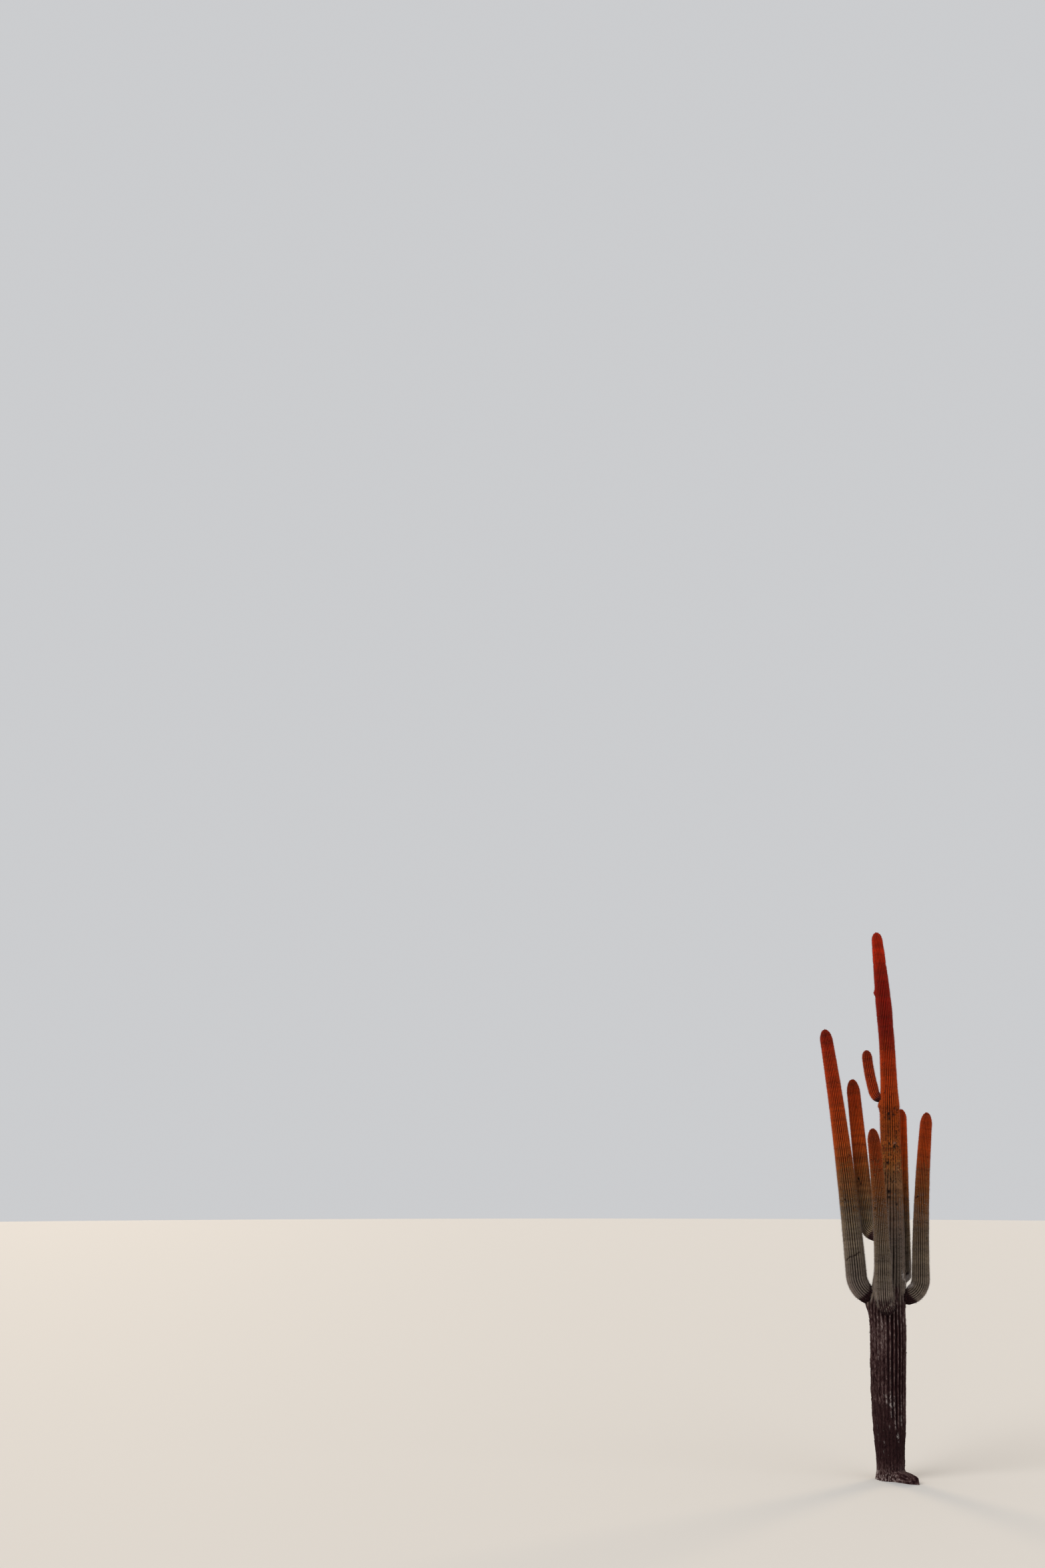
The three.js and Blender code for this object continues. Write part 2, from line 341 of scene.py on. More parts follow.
def grid_normals(points):
    """Outward directions on a grid that closes round its columns."""
    up = np.gradient(points, axis=0)
    around = np.roll(points, -1, axis=1) - np.roll(points, 1, axis=1)
    normals = np.cross(around, up)
    return normals / np.maximum(np.linalg.norm(normals, axis=-1, keepdims=True), 1e-12)


def grid_faces(rows, columns):
    """The four corners of each face of a grid that closes round its columns."""
    j, i = np.meshgrid(np.arange(rows - 1), np.arange(columns), indexing="ij")
    right = (i + 1) % columns
    quads = [j * columns + i, j * columns + right, (j + 1) * columns + right, (j + 1) * columns + i]
    return np.stack(quads, -1).reshape(-1, 4)


print("a grid of 3 rings of 4 points has", len(grid_faces(3, 4)), "faces")

# %% Places on the texture sheet
# the empty margin beside a strip, and the share of the sheet's height that the caps have
STRIP_MARGIN, CAP_SHARE = 0.012, 0.03


def strip_places(rows, columns, strips):
    """Texture places of the grid's faces: the limb is cut across into strips that lie side by side."""
    j, i = np.meshgrid(np.arange(rows - 1), np.arange(columns), indexing="ij")
    tall = math.ceil((rows - 1) / strips)
    strip, step = j // tall, j % tall
    left = (strip + STRIP_MARGIN + (1 - 2 * STRIP_MARGIN) * i / columns) / strips
    right = left + (1 - 2 * STRIP_MARGIN) / strips / columns
    low = STRIP_MARGIN + (1 - CAP_SHARE - 2 * STRIP_MARGIN) * step / tall
    high = low + (1 - CAP_SHARE - 2 * STRIP_MARGIN) / tall
    corners = [(left, low), (right, low), (right, high), (left, high)]
    return np.stack([np.stack(c, -1) for c in corners], 2).reshape(-1, 2)


print("its strips use", len(strip_places(3, 4, 2)), "corners of the sheet")

# %% Caps
# the empty share above and below the fans in the sheet's top margin
CAP_MARGIN = 0.2


def cap(row, columns, middle, outward_up):
    """A fan of triangles that closes a ring, and its texture places in the sheet's top margin."""
    ring = row * columns + np.arange(columns)
    after = row * columns + (np.arange(columns) + 1) % columns
    hub = np.full(columns, middle)
    fan = np.stack([ring, after, hub] if outward_up else [after, ring, hub], -1)
    share = np.arange(columns) / columns
    low, high = 1 - CAP_SHARE * (1 - CAP_MARGIN), 1 - CAP_SHARE * CAP_MARGIN
    corners = [(share, low), (share + 1 / columns, low), (share + 0.5 / columns, high)]
    places = np.stack([np.stack([x, np.full(columns, y)], -1) for x, y in corners], 1)
    return fan, places.reshape(-1, 2)


print("a cap over a ring of 4 points:", cap(0, 4, 4, True)[0].tolist())

# %% [markdown]
# Scars, streaks and callus
#
# An old skin carries scars where it was hurt: small dark ones by the hundred, a few deep ones, and
# pale streaks where the bark has split off. Each is given by its height and its bearing on the trunk,
# with its size, because a random scatter alone would miss the ones that stand out. A positive depth
# is a dent, and a negative one is a lump of callus. A streak is a chain of such marks.

# %% A streak of marks
# about the lower trunk's radius, for the number of marks in a streak
TYPICAL_GIRTH = 0.25


def streak(start, end, half_size, depth, darkness):
    """Round marks in a chain from one (height, bearing) to another."""
    tall, turned = end[0] - start[0], end[1] - start[1]
    wide = math.radians(turned) * TYPICAL_GIRTH
    shares = np.linspace(0, 1, 2 + int(math.hypot(tall, wide) / half_size))
    return [
        (start[0] + tall * share, start[1] + turned * share, half_size, half_size, depth, darkness)
        for share in shares
    ]


print("a streak 0.2 m long has", len(streak((1, 0), (1.2, 0), 0.02, 0, 1)), "marks")

# %% Marks on the trunk
# height, bearing in degrees, half width, half height, depth, darkness (negative is pale)
TRUNK_MARKS = [
    (7.93, 180, 0.035, 0.046, -0.024, 0),
    (5.84, -99, 0.024, 0.034, 0.010, 1),
    (5.76, -92, 0.020, 0.026, 0.008, 1),
    (5.93, -62, 0.020, 0.022, 0.006, 1),
    (5.82, -70, 0.014, 0.030, 0.006, 0.9),
    (5.34, -99, 0.018, 0.026, 0.006, 1),
    (5.35, -66, 0.024, 0.020, -0.008, -0.9),
    (5.29, -67, 0.022, 0.022, 0.010, 1),
    (5.30, -49, 0.020, 0.018, 0.008, 1),
    (5.28, -139, 0.018, 0.022, 0.005, 1),
    (5.02, -108, 0.022, 0.026, 0.012, 1),
    (4.70, -80, 0.014, 0.020, 0.006, 0.8),
    (4.55, -99, 0.028, 0.030, 0.016, 1),
    (4.46, -96, 0.016, 0.018, 0.008, 1),
    (4.34, -57, 0.020, 0.024, 0.012, 0.9),
    (4.10, 40, 0.030, 0.035, 0.018, 1),
    (5.10, 95, 0.022, 0.030, 0.010, 1),
    (6.60, 70, 0.020, 0.026, 0.008, 1),
    (3.16, -22, 0.014, 0.020, 0.024, 1),
    (3.17, -36, 0.012, 0.014, 0.016, 1),
    (0.84, -89, 0.008, 0.035, -0.002, -0.3),
    (0.70, -60, 0.015, 0.030, -0.005, -0.9),
    (0.66, -56, 0.012, 0.012, -0.004, -0.8),
    (0.61, -55, 0.010, 0.014, -0.003, -0.6),
    (0.44, -117, 0.008, 0.028, -0.002, -0.3),
]
print("single marks on the trunk:", len(TRUNK_MARKS))

# %% Streaks on the trunk
# from (height, bearing) to (height, bearing), half size, depth, darkness
TRUNK_STREAKS = [
    ((3.24, -32), (3.12, -22), 0.022, -0.014, -1.6),
    ((3.12, -20), (3.00, -4), 0.028, -0.026, -1.8),
    ((1.87, -83), (1.36, -83), 0.010, 0, -0.22),
    ((1.38, -83), (1.17, -84), 0.015, -0.003, -0.75),
    ((1.17, -86), (1.13, -77), 0.014, -0.003, -0.8),
    ((1.13, -72), (1.30, -69), 0.012, -0.002, -0.5),
    ((1.32, -106), (1.31, -99), 0.014, -0.002, -0.45),
    ((1.30, -97), (1.18, -96), 0.012, -0.002, -0.5),
    ((1.07, -83), (0.99, -83), 0.013, -0.002, -0.35),
    ((1.12, -69), (0.80, -69), 0.012, -0.002, -0.35),
    ((0.99, -41), (0.85, -41), 0.020, -0.002, -0.35),
    ((1.30, -41), (1.10, -42), 0.012, 0, -0.3),
    ((0.60, -113), (0.55, -112), 0.012, 0, -0.3),
    ((1.05, -141), (0.60, -135), 0.009, 0, -0.12),
    ((2.04, -126), (1.88, -123), 0.016, 0, -0.25),
    ((1.62, -157), (1.48, -158), 0.014, -0.003, -0.6),
]
for ends in TRUNK_STREAKS:
    TRUNK_MARKS.extend(streak(*ends))
print("marks on the trunk with those of its streaks:", len(TRUNK_MARKS))

# %% Freckles
# height, spread and number of the freckles in a band
FRECKLE_BANDS = [
    (5.88, 0.09, 80), (5.75, 0.26, 260), (5.32, 0.09, 70), (4.55, 0.45, 50), (6.60, 1.4, 70),
    (3.7, 0.6, 40),
]
# half width, height over width, depth, darkness
FRECKLE_SIZE, FRECKLE_TALL, FRECKLE_DEPTH, FRECKLE_DARKNESS = (0.006, 0.014), 1.3, 0.002, (0.3, 0.8)
marks_random = np.random.default_rng(11)


def freckles():
    """Small dark scars in bands round the trunk, each as a mark."""
    found = []
    for middle, spread, count in FRECKLE_BANDS:
        for _ in range(count):
            height, bearing = marks_random.normal(middle, spread), marks_random.uniform(-180, 180)
            size = marks_random.uniform(*FRECKLE_SIZE)
            darkness = marks_random.uniform(*FRECKLE_DARKNESS)
            found.append((height, bearing, size, size * FRECKLE_TALL, FRECKLE_DEPTH, darkness))
    return found


print("freckles on the trunk:", sum(count for _, _, count in FRECKLE_BANDS))

# %% Where the marks fall
# how many half heights from its middle a mark still shows, how far a ring may slope, and how full a
# mark's middle is
MARK_REACH, RING_SLOPE, MARK_FULLNESS = 3, 0.04, 1.4


def marked(angle, height, girth, marks):
    """Dents, darkness and paleness of the marks at each point of a limb."""
    dent, dark, pale = (np.zeros(angle.shape) for _ in range(3))
    for middle, bearing, half_width, half_height, depth, darkness in marks:
        near = np.abs(height.mean(1) - middle) < MARK_REACH * half_height + RING_SLOPE
        across = turn_between(angle[near], math.radians(bearing)) * girth[near]
        spot = np.exp(-((across / half_width) ** 2) - ((height[near] - middle) / half_height) ** 2)
        shape = dent[near]
        stronger = np.abs(depth * spot) > np.abs(shape)
        dent[near] = np.where(stronger, depth * spot, shape)
        dark[near] = np.maximum(dark[near], max(darkness, 0) * spot)
        pale[near] = np.maximum(pale[near], max(-darkness, 0) * spot)
    return dent, np.clip(dark * MARK_FULLNESS, 0, 1), np.clip(pale * MARK_FULLNESS, 0, 1)


print("a mark of half height 0.03 is looked for", round(MARK_REACH * 0.03 + RING_SLOPE, 2), "m up and down")

# %% The trunk's grid
# points on a rib, how tall a row is in the bark and in the stem, rows in the dome, and the bark's top
TRUNK_STEPS = 9
BARK_ROW, STEM_ROW, DOME_STEPS = 0.0064, 0.0155, 14
BARK_TOP = 2.62
bark_heights = np.linspace(0, BARK_TOP, round(BARK_TOP / BARK_ROW) + 1)
stem_heights = np.linspace(
    BARK_TOP, HEIGHT - TRUNK_DOME, round((HEIGHT - TRUNK_DOME - BARK_TOP) / STEM_ROW) + 1
)
dome_heights = HEIGHT - TRUNK_DOME * (1 - np.sin(np.linspace(0, math.pi / 2, DOME_STEPS + 1)[1:-1]))
heights = np.concatenate([bark_heights, stem_heights[1:], dome_heights])[:, None]
trunk_columns = TRUNK_STEPS * TRUNK_RIBS
angles = np.linspace(0, 2 * math.pi, trunk_columns, endpoint=False)[None, :] + 0 * heights
print("the trunk has", len(heights), "rings of", trunk_columns, "points")


# %% Points round the trunk's line
def at(height, angle, radius):
    """Points at a height, an angle and a radius round the trunk's line."""
    middle = through(TRUNK_LINE, height)
    return np.stack([middle + radius * np.cos(angle), radius * np.sin(angle), height + 0 * angle], -1)


print("the middle of the trunk's tip:", at(np.array(HEIGHT), np.array(0.0), 0.0).round(3))


# %% [markdown]
# The state of the bark
#
# The lower trunk of an old saguaro is corky, and not evenly so. Here the right side keeps sharp
# pleats with black grooves, the front left is worn to flat grey and brown plates, and under a ragged
# line the bark is smooth and nearly black. Noise alone would spread all three everywhere. So each
# state is a number between 0 and 1 at each point, made from its height and its side with noise on
# its edges, and the depth of the pleats and the lightness of the bark follow from them.

# %% Relief of the trunk
# how far the edges between the kinds of bark wander, in metres
EDGE_WANDER = 0.18

girth = through(TRUNK_GIRTH, heights) * dome_share(HEIGHT - heights, TRUNK_DOME)
round_trunk = at(heights, angles, girth)
# each has the size of its lumps along x, y and z, a seed, and its octaves of noise
worn = EDGE_WANDER * relief(round_trunk, (0.3, 0.3, 0.5), 1)
plates = relief(round_trunk, (0.035, 0.035, 0.16), 2, 4)
crumbs = relief(round_trunk, (0.016, 0.016, 0.03), 3, 2)
waves = relief(round_trunk, (0.12, 0.12, 0.22), 4, 2)
wander = relief(round_trunk, (0.5, 0.5, 0.35), 5, 2)
blotches = relief(round_trunk, (0.05, 0.05, 0.09), 6, 4)
fibres = relief(round_trunk, (0.014, 0.014, 0.07), 7, 3)
bands = growth_bands(heights + 0 * angles, waves, 8)
print("growth bands spread by", round(float(bands.std()), 2))

# %% The state of the bark
# heights between which a state fades. Where the first is above the second, it fades upwards
CORK_TOP, FLAT_TOP = (3.02, 2.72), (2.72, 2.35)
# where the right side starts, as a cosine of the bearing, and the bare patch of cork between two arms
RIGHT_EDGE = (-0.25, 0.25)
BARE_BEARING, BARE_SPREAD, BARE_TOP, BARE_FOOT = -57, 15, (3.08, 2.96), (2.66, 2.76)
# the smooth bark reaches less high on the right, and its edge is ragged with plates and wear
OLD_TOP, OLD_TOP_LOSS, OLD_SIDE, OLD_EDGE = 1.17, 0.30, (-0.1, 0.5), (0.06, -0.06)
OLD_PLATES, OLD_WEAR = 0.05, 0.3


def near_bearing(bearing, spread):
    """How near each point is to a bearing, from 0 to 1."""
    return np.exp(-((turn_between(angles, math.radians(bearing)) / math.radians(spread)) ** 2))


right_side = smooth(*RIGHT_EDGE, np.cos(angles) + worn)
bare_patch = near_bearing(BARE_BEARING, BARE_SPREAD) * smooth(*BARE_TOP, heights)
bare_patch = bare_patch * smooth(*BARE_FOOT, heights)
cork = np.maximum(smooth(*CORK_TOP, heights + worn), bare_patch)
flat = np.maximum(smooth(*FLAT_TOP, heights + worn) * (1 - right_side), bare_patch)
old_top = OLD_TOP - OLD_TOP_LOSS * smooth(*OLD_SIDE, np.cos(angles))
old = smooth(*OLD_EDGE, heights + OLD_PLATES * plates + OLD_WEAR * worn - old_top)
print("cork covers", round(float(cork.mean()), 2), "of the trunk, smooth bark", round(float(old.mean()), 2))

# %% The depth of the pleats
# depths of a groove as shares of the girth, what weathered skin has lost of it, and between which heights
SKIN_GROOVE, CORK_GROOVE, FLAT_GROOVE = 0.165, 0.18, 0.08
WEATHERED_LOSS, WEATHERED_FOOT, WEATHERED_TOP = 0.4, (3.3, 3.9), (6.0, 5.4)
# how much of the way to flat grooves the flat cork goes
FLAT_SHARE = 0.85

drop = rib_drop(TRUNK_STEPS, TRUNK_RIBS)[None, :]
weathered = smooth(*WEATHERED_FOOT, heights) * smooth(*WEATHERED_TOP, heights + worn)
depth = SKIN_GROOVE * (1 - WEATHERED_LOSS * weathered)
depth = depth + (CORK_GROOVE - depth) * cork
depth = depth + (FLAT_GROOVE - depth) * np.maximum(old, FLAT_SHARE * flat)
print("grooves are", round(float(depth.min()), 3), "to", round(float(depth.max()), 3), "of the girth deep")

# %% The relief of the cork
# how far plates, flakes and crumbs stand out, and how deep and wide the cracks between plates are
PLATE_RELIEF, FLAKE_RELIEF, CRUMB_RELIEF = 0.002, 0.004, 0.0022
CRACK_DEPTH, CRACK_WIDTH = 0.008, 0.10

flakes = np.maximum(flat, old)
cork_relief = cork * (PLATE_RELIEF + FLAKE_RELIEF * flakes) * plates + CRUMB_RELIEF * cork * crumbs
cork_relief = cork_relief - CRACK_DEPTH * flakes * smooth(CRACK_WIDTH, 0.0, np.abs(plates))
print("relief of the cork:", round(float(cork_relief.min()), 4), "to", round(float(cork_relief.max()), 4))

# %% The trunk's skin
# height and depth of the rings where growth paused
YEAR_RINGS = [(8.43, 0.006), (7.86, 0.004), (7.35, 0.003), (6.45, 0.004), (5.93, 0.003), (4.94, 0.003)]
YEAR_RING_WIDTH = 0.02
# how far growth bands and waves stand out
BAND_RELIEF, WAVE_RELIEF = 0.0015, 0.0025
# how far the ribs wander sideways, how much more in smooth bark, and how far with the waves in cork
RIB_WANDER, OLD_WANDER, CORK_WANDER = 0.010, 0.018, 0.014

pinched = sum(deep * np.exp(-(((heights - z) / YEAR_RING_WIDTH) ** 2)) for z, deep in YEAR_RINGS)
swell = collar_swell(angles, heights) + foot_swell(angles, heights)
dent, scar, pale = marked(angles, heights + 0 * angles, girth + 0 * angles, TRUNK_MARKS + freckles())
radius = (girth + swell - pinched) * (1 - depth * drop) + cork_relief + WAVE_RELIEF * waves - dent
radius = radius + BAND_RELIEF * bands * (1 - cork)
wobble = wander * (RIB_WANDER + OLD_WANDER * old) + CORK_WANDER * cork * waves
trunk_skin = at(heights, angles + wobble, radius)
trunk_skin[0, :, 2] = 0
trunk_normals = grid_normals(trunk_skin)
print("the trunk's skin has", trunk_skin.shape[0] * trunk_skin.shape[1], "points")

# %% [markdown]
# How light the bark is
#
# Cork seen from close by has streaks, plates and black grooves, and one noise can't give all three.
# Here each kind of bark has a recipe: a base lightness and a share of each relief that was worked out
# above. Sharp pleats get the light on their crests alone, flat cork is fibrous with dark cracks, and
# smooth bark is nearly black. The recipes are mixed by the state of the bark at each point.

# %% Recipes for the lightness
# a base, and the share of each of the fields below
RECIPES = {
    "crests": dict(base=0.56, blotches=0.28, fibres=0.35),
    "flat cork": dict(base=0.29, crest=0.26, blotches=0.12, fibres=0.50, cracks=-0.22),
    "grey patch": dict(base=0.22, blotches=0.15),
    "smooth bark": dict(base=0.19, crest=0.07, left=0.18, front=0.10, plates=0.08, fibres=0.18),
    "foot": dict(base=0.24, crumbs=0.6, toe=-0.20),
}
# how wide cracks are, the bearing and spread of two paler sides, and how far out the root begins
BARK_CRACK = 0.12
LEFT, FRONT = (180, 40), (-25, 22)
TOE_EDGE = (0.05, 0.15)

crest = 1 - drop + 0 * heights
fields = dict(
    crest=crest, blotches=blotches, fibres=fibres, plates=plates, crumbs=crumbs,
    cracks=smooth(BARK_CRACK, 0.0, np.abs(plates)), left=near_bearing(*LEFT), front=near_bearing(*FRONT),
    toe=smooth(*TOE_EDGE, foot_swell(angles, heights)),
)


def lightness(kind):
    """The lightness that a recipe gives at each point. A base has no field, so it counts in full."""
    light = 0
    for name, share in RECIPES[kind].items():
        light = light + share * fields.get(name, 1)
    return light


for kind in RECIPES:
    print("mean lightness of", kind + ":", round(float(np.mean(lightness(kind))), 2))


# %% The lightness of the bark
# where a crest begins, the light in a groove, the grey patch, and the heights between which the foot ends
CREST_EDGE, GROOVE_LIGHT = (0.45, 0.95), 0.05
GREY_BEARING, GREY_SPREAD, GREY_FOOT, GREY_TOP = -109, 26, (1.75, 2.1), (2.8, 2.5)
FOOT_TOP = (0.34, 0.08)
# height, and how light the cork is there
CORK_LIGHT = [
    (0, 1.1), (0.25, 0.8), (0.6, 0.60), (1.0, 0.82), (1.5, 0.70), (2.0, 0.74), (2.5, 0.92), (3.2, 1.0),
]

grey_patch = near_bearing(GREY_BEARING, GREY_SPREAD) * smooth(*GREY_FOOT, heights)
grey_patch = grey_patch * smooth(*GREY_TOP, heights)
pleats = GROOVE_LIGHT + smooth(*CREST_EDGE, crest) * lightness("crests")
plain_cork = lightness("flat cork") + grey_patch * lightness("grey patch")
smooth_bark = lightness("smooth bark") + smooth(*FOOT_TOP, heights) * lightness("foot")
light = pleats + (plain_cork - pleats) * flat
light = light + (smooth_bark - light) * old
light = np.clip(light * through(CORK_LIGHT, heights), 0, 1)
print("lightness of the bark:", light.min().round(2), "to", light.max().round(2))

# %% The numbers that the trunk's points carry
# pale marks are patchy and stay on the crests of the cork, which ends between two heights
PALE_PATCHY, PALE_FIBRES, PALE_IN_GROOVE, CORK_END = (-0.2, 0.3), 0.5, 0.45, (2.9, 2.95)
# weathered skin fades between crest and groove, and is pitted higher up
FADE, FADE_MIDDLE, PITS, PITTED_FOOT = 0.45, 0.58, 0.55, (4.3, 4.9)
# how strong the growth bands are, and how much stronger in weathered skin
TRUNK_BANDS, WEATHERED_BANDS = 0.40, 0.14

standing = np.maximum(np.maximum(crest, old), smooth(*CORK_END, heights))
patchy = smooth(*PALE_PATCHY, crumbs + PALE_FIBRES * fibres)
pale = np.clip(pale * patchy * (PALE_IN_GROOVE + (1 - PALE_IN_GROOVE) * standing), 0, 1)
pitted = weathered * smooth(*PITTED_FOOT, heights)
faded = FADE * weathered * (FADE_MIDDLE - crest) + PITS * pitted * crumbs
trunk_numbers = dict(
    crest=np.clip(crest + faded, 0, 1), cork=cork, light=light, scar=scar, pale=pale,
    tone=heights + 0 * angles, bright=1 + (TRUNK_BANDS + WEATHERED_BANDS * weathered) * bands * (1 - cork),
)
print("the trunk's points carry", ", ".join(trunk_numbers))

# %% [markdown]
# Two pieces for one trunk
#
# The cork needs finer points than the green stem, and one mesh of both would be heavy. So the grid
# is parted at a ring in the cork: the lower piece is the bark and the upper piece the stem. They
# share the points of that ring, and both stand for the trunk's solid.


# %% The trunk's two pieces
def add_trunk_piece(name, first, last, ring, middle, strips):
    """A piece from some rows of the trunk's skin, with one ring closed by a fan to a middle point."""
    rows = slice(first, last + 1)
    count = last + 1 - first
    points = np.concatenate([trunk_skin[rows].reshape(-1, 3), [middle]])
    numbers = {key: np.append(values[rows], values[ring].mean()) for key, values in trunk_numbers.items()}
    fan, fan_places = cap(ring - first, trunk_columns, count * trunk_columns, ring == last)
    faces = [grid_faces(count, trunk_columns), fan]
    places = np.concatenate([strip_places(count, trunk_columns, strips), fan_places])
    add_piece(name, points, faces, places, ["trunk"], numbers)


parting, top = len(bark_heights) - 1, len(heights) - 1
add_trunk_piece("trunk_bark", 0, parting, 0, [0, 0, 0], 1)
add_trunk_piece("trunk_stem", parting, top, top, [float(through(TRUNK_LINE, HEIGHT)), 0, HEIGHT], 3)

# %% [markdown]
# An arm follows one line
#
# The line of an arm is a straight stretch, a quarter circle and a long shallow bow. Bezier curves
# give all three. A ring at each point of the line needs two directions across it. Taking them from
# a fixed axis would make the ribs twist where the arm turns up, so each ring takes its directions
# from the ring before, turned only as far as the line turns.


# %% The line of an arm
def bezier(points, count=200):
    """Points of a Bezier curve with those handles."""
    t = np.linspace(0, 1, count)[:, None]
    levels = [np.tile(np.array(p, float), (count, 1)) for p in points]
    while len(levels) > 1:
        levels = [a + (b - a) * t for a, b in zip(levels, levels[1:])]
    return levels[0]


def lengths_along(line):
    """How far along a line each of its points is."""
    return np.concatenate([[0], np.cumsum(np.linalg.norm(np.diff(line, axis=0), axis=1))])


def spaced(line, places):
    """Points of a line at those distances along it."""
    along = lengths_along(line)
    return np.stack([np.interp(places, along, line[:, k]) for k in range(3)], -1)


def unit(vector):
    """A vector brought to length one."""
    return vector / np.linalg.norm(vector)


corner = bezier([(0, 0, 0), (1, 0, 0), (1, 0, 1)])
print("a corner rounded by a curve is", round(lengths_along(corner)[-1], 3), "long")

# %% An arm's elbow and upright
# where an arm starts inside the trunk, as a share of the trunk's girth, and a quarter circle's handle
ROOT_INSET, QUARTER_HANDLE = 0.4, 0.5523


def arm_lines(arm):
    """The elbow's line and the upright's line of an arm."""
    bearing = math.radians(arm["bearing"])
    outward, sideways = (np.array([math.cos(a), math.sin(a), 0]) for a in (bearing, bearing + math.pi / 2))
    axis = np.array([float(through(TRUNK_LINE, arm["root"])), 0, arm["root"]])
    under = axis + arm["reach"] * outward
    root = axis + arm["aside"] * sideways
    out = unit(under - root)
    start = root + out * ROOT_INSET * float(through(TRUNK_GIRTH, arm["root"]))
    turn = under - out * arm["bend"]
    foot = under + [0, 0, arm["bend"]]
    drift = np.array([*arm["drift"], 0])
    tip = foot + drift + [0, 0, arm["rise"]]
    waist = foot + drift * arm["early"] + [0, 0, arm["rise"] / 2]
    handle = QUARTER_HANDLE * arm["bend"]
    corner = bezier([turn, turn + out * handle, foot - unit(waist - foot) * handle, foot])
    return np.concatenate([[start], corner]), bezier([foot, waist, tip])


elbow, _ = arm_lines(ARMS["arm_left"])
print("the long arm's elbow is", round(lengths_along(elbow)[-1], 2), "m long")


# %% Directions carried along a line
def carried_frames(middles):
    """Two directions across a line at each of its points, carried along it without twist."""
    tangents = np.gradient(middles, axis=0)
    tangents /= np.linalg.norm(tangents, axis=1, keepdims=True)
    across = [np.array([0, 0, 1.0])]
    for tangent in tangents:
        across.append(unit(across[-1] - tangent * (across[-1] @ tangent)))
    across = np.array(across[1:])
    return across, np.cross(tangents, across)


print("round the corner, up turns into", carried_frames(corner)[0][-1].round(1))

# %% The girth of an arm
# how tall a row is, points on a rib, rows in the dome, and the elbow's girth at its root
ARM_ROW, ARM_STEPS, ARM_DOME_STEPS = 0.0165, 7, 16
ELBOW_ROOT_SHARE = 0.94


def arm_rings(arm):
    """Middles, radii and distances along the arm from where it starts inside the trunk."""
    elbow, upright = arm_lines(arm)
    bent, straight = lengths_along(elbow)[-1], lengths_along(upright)[-1]
    whole = bent + straight
    body = np.linspace(0, whole - arm["dome"], round((whole - arm["dome"]) / ARM_ROW) + 1)
    turn = np.linspace(0, math.pi / 2, ARM_DOME_STEPS + 1)[1:-1]
    places = np.concatenate([body, whole - arm["dome"] * (1 - np.sin(turn))])
    middles = spaced(np.concatenate([elbow, upright[1:]]), places)
    share = np.clip((places - bent) / straight, 0, 1)
    lower = arm["foot"] * (ELBOW_ROOT_SHARE + (1 - ELBOW_ROOT_SHARE) * smooth(0, bent, places))
    upper = arm["foot"] + (arm["tip"] - arm["foot"]) * share ** arm["taper"]
    radii = np.where(places < bent, lower, upper) * dome_share(whole - places, arm["dome"])
    return middles, radii, places, spaced(upright, [straight])[0]


for name, arm in ARMS.items():
    print(name, "is", round(float(arm_rings(arm)[2][-1]), 2), "m long along its line")


# %% [markdown]
# The arms' skins
#
# Each arm is one skin from inside the trunk to its tip, so that its ribs run on without a break
# round the elbow, as they do on the plant. It stands for two solids, the elbow and the upright.
# Close to the trunk the skin is brown and corky, and under each elbow painted shade darkens it. One arm has
# an old slanting crack across its ribs.

# %% Marks on the arms
# height, bearing in degrees about the arm's own middle, half width, half height, depth, darkness
ARM_MARKS = {
    "arm_left": [
        (4.60, -138, 0.016, 0.030, 0.006, 1), (4.52, -119, 0.014, 0.026, 0.006, 0.9),
        (4.41, -112, 0.018, 0.020, 0.008, 1), (6.53, -35, 0.012, 0.030, 0.005, 0.5),
        (5.2, 60, 0.020, 0.030, 0.008, 1), (3.9, 130, 0.022, 0.026, 0.010, 1),
    ],
    "arm_left_rear": [
        (4.76, -122, 0.016, 0.026, 0.006, 1), (4.68, -108, 0.014, 0.020, 0.006, 1),
        (5.6, 80, 0.018, 0.024, 0.008, 1),
    ],
    "arm_front": [(4.75, 100, 0.018, 0.026, 0.008, 1), (3.6, -40, 0.010, 0.016, 0.004, 0.6)],
    "arm_right": [
        (4.47, -128, 0.020, 0.016, 0.008, 1), (4.45, -150, 0.018, 0.014, 0.006, 0.9),
        (5.0, 30, 0.018, 0.030, 0.008, 1), (3.02, -150, 0.045, 0.040, -0.016, -1.5),
    ],
    "arm_right_rear": [
        (3.34, -32, 0.026, 0.100, -0.012, -0.8), (3.14, -20, 0.050, 0.060, -0.032, -1.4),
        (3.20, -45, 0.020, 0.026, 0.012, 0.9), (4.3, -60, 0.012, 0.02, 0.004, 0.8),
    ],
    "arm_upper": [(6.5, 10, 0.010, 0.012, 0.003, 0.6)],
}
# the crack, in three stretches, and pale crests at the edges of the front arm
ARM_STREAKS = {
    "arm_left": [
        ((3.42, -152), (3.47, -126), 0.011, 0.013, 1), ((3.47, -126), (3.50, -88), 0.012, 0.014, 1),
        ((3.50, -88), (3.56, -56), 0.010, 0.011, 1),
    ],
    "arm_front": [
        ((3.35, -33), (2.72, -38), 0.009, 0, -0.35), ((3.10, -150), (2.66, -143), 0.009, 0, -0.4),
    ],
}
for name, streaks in ARM_STREAKS.items():
    for ends in streaks:
        ARM_MARKS[name].extend(streak(*ends))
print("marks on the arms:", sum(len(marks) for marks in ARM_MARKS.values()))

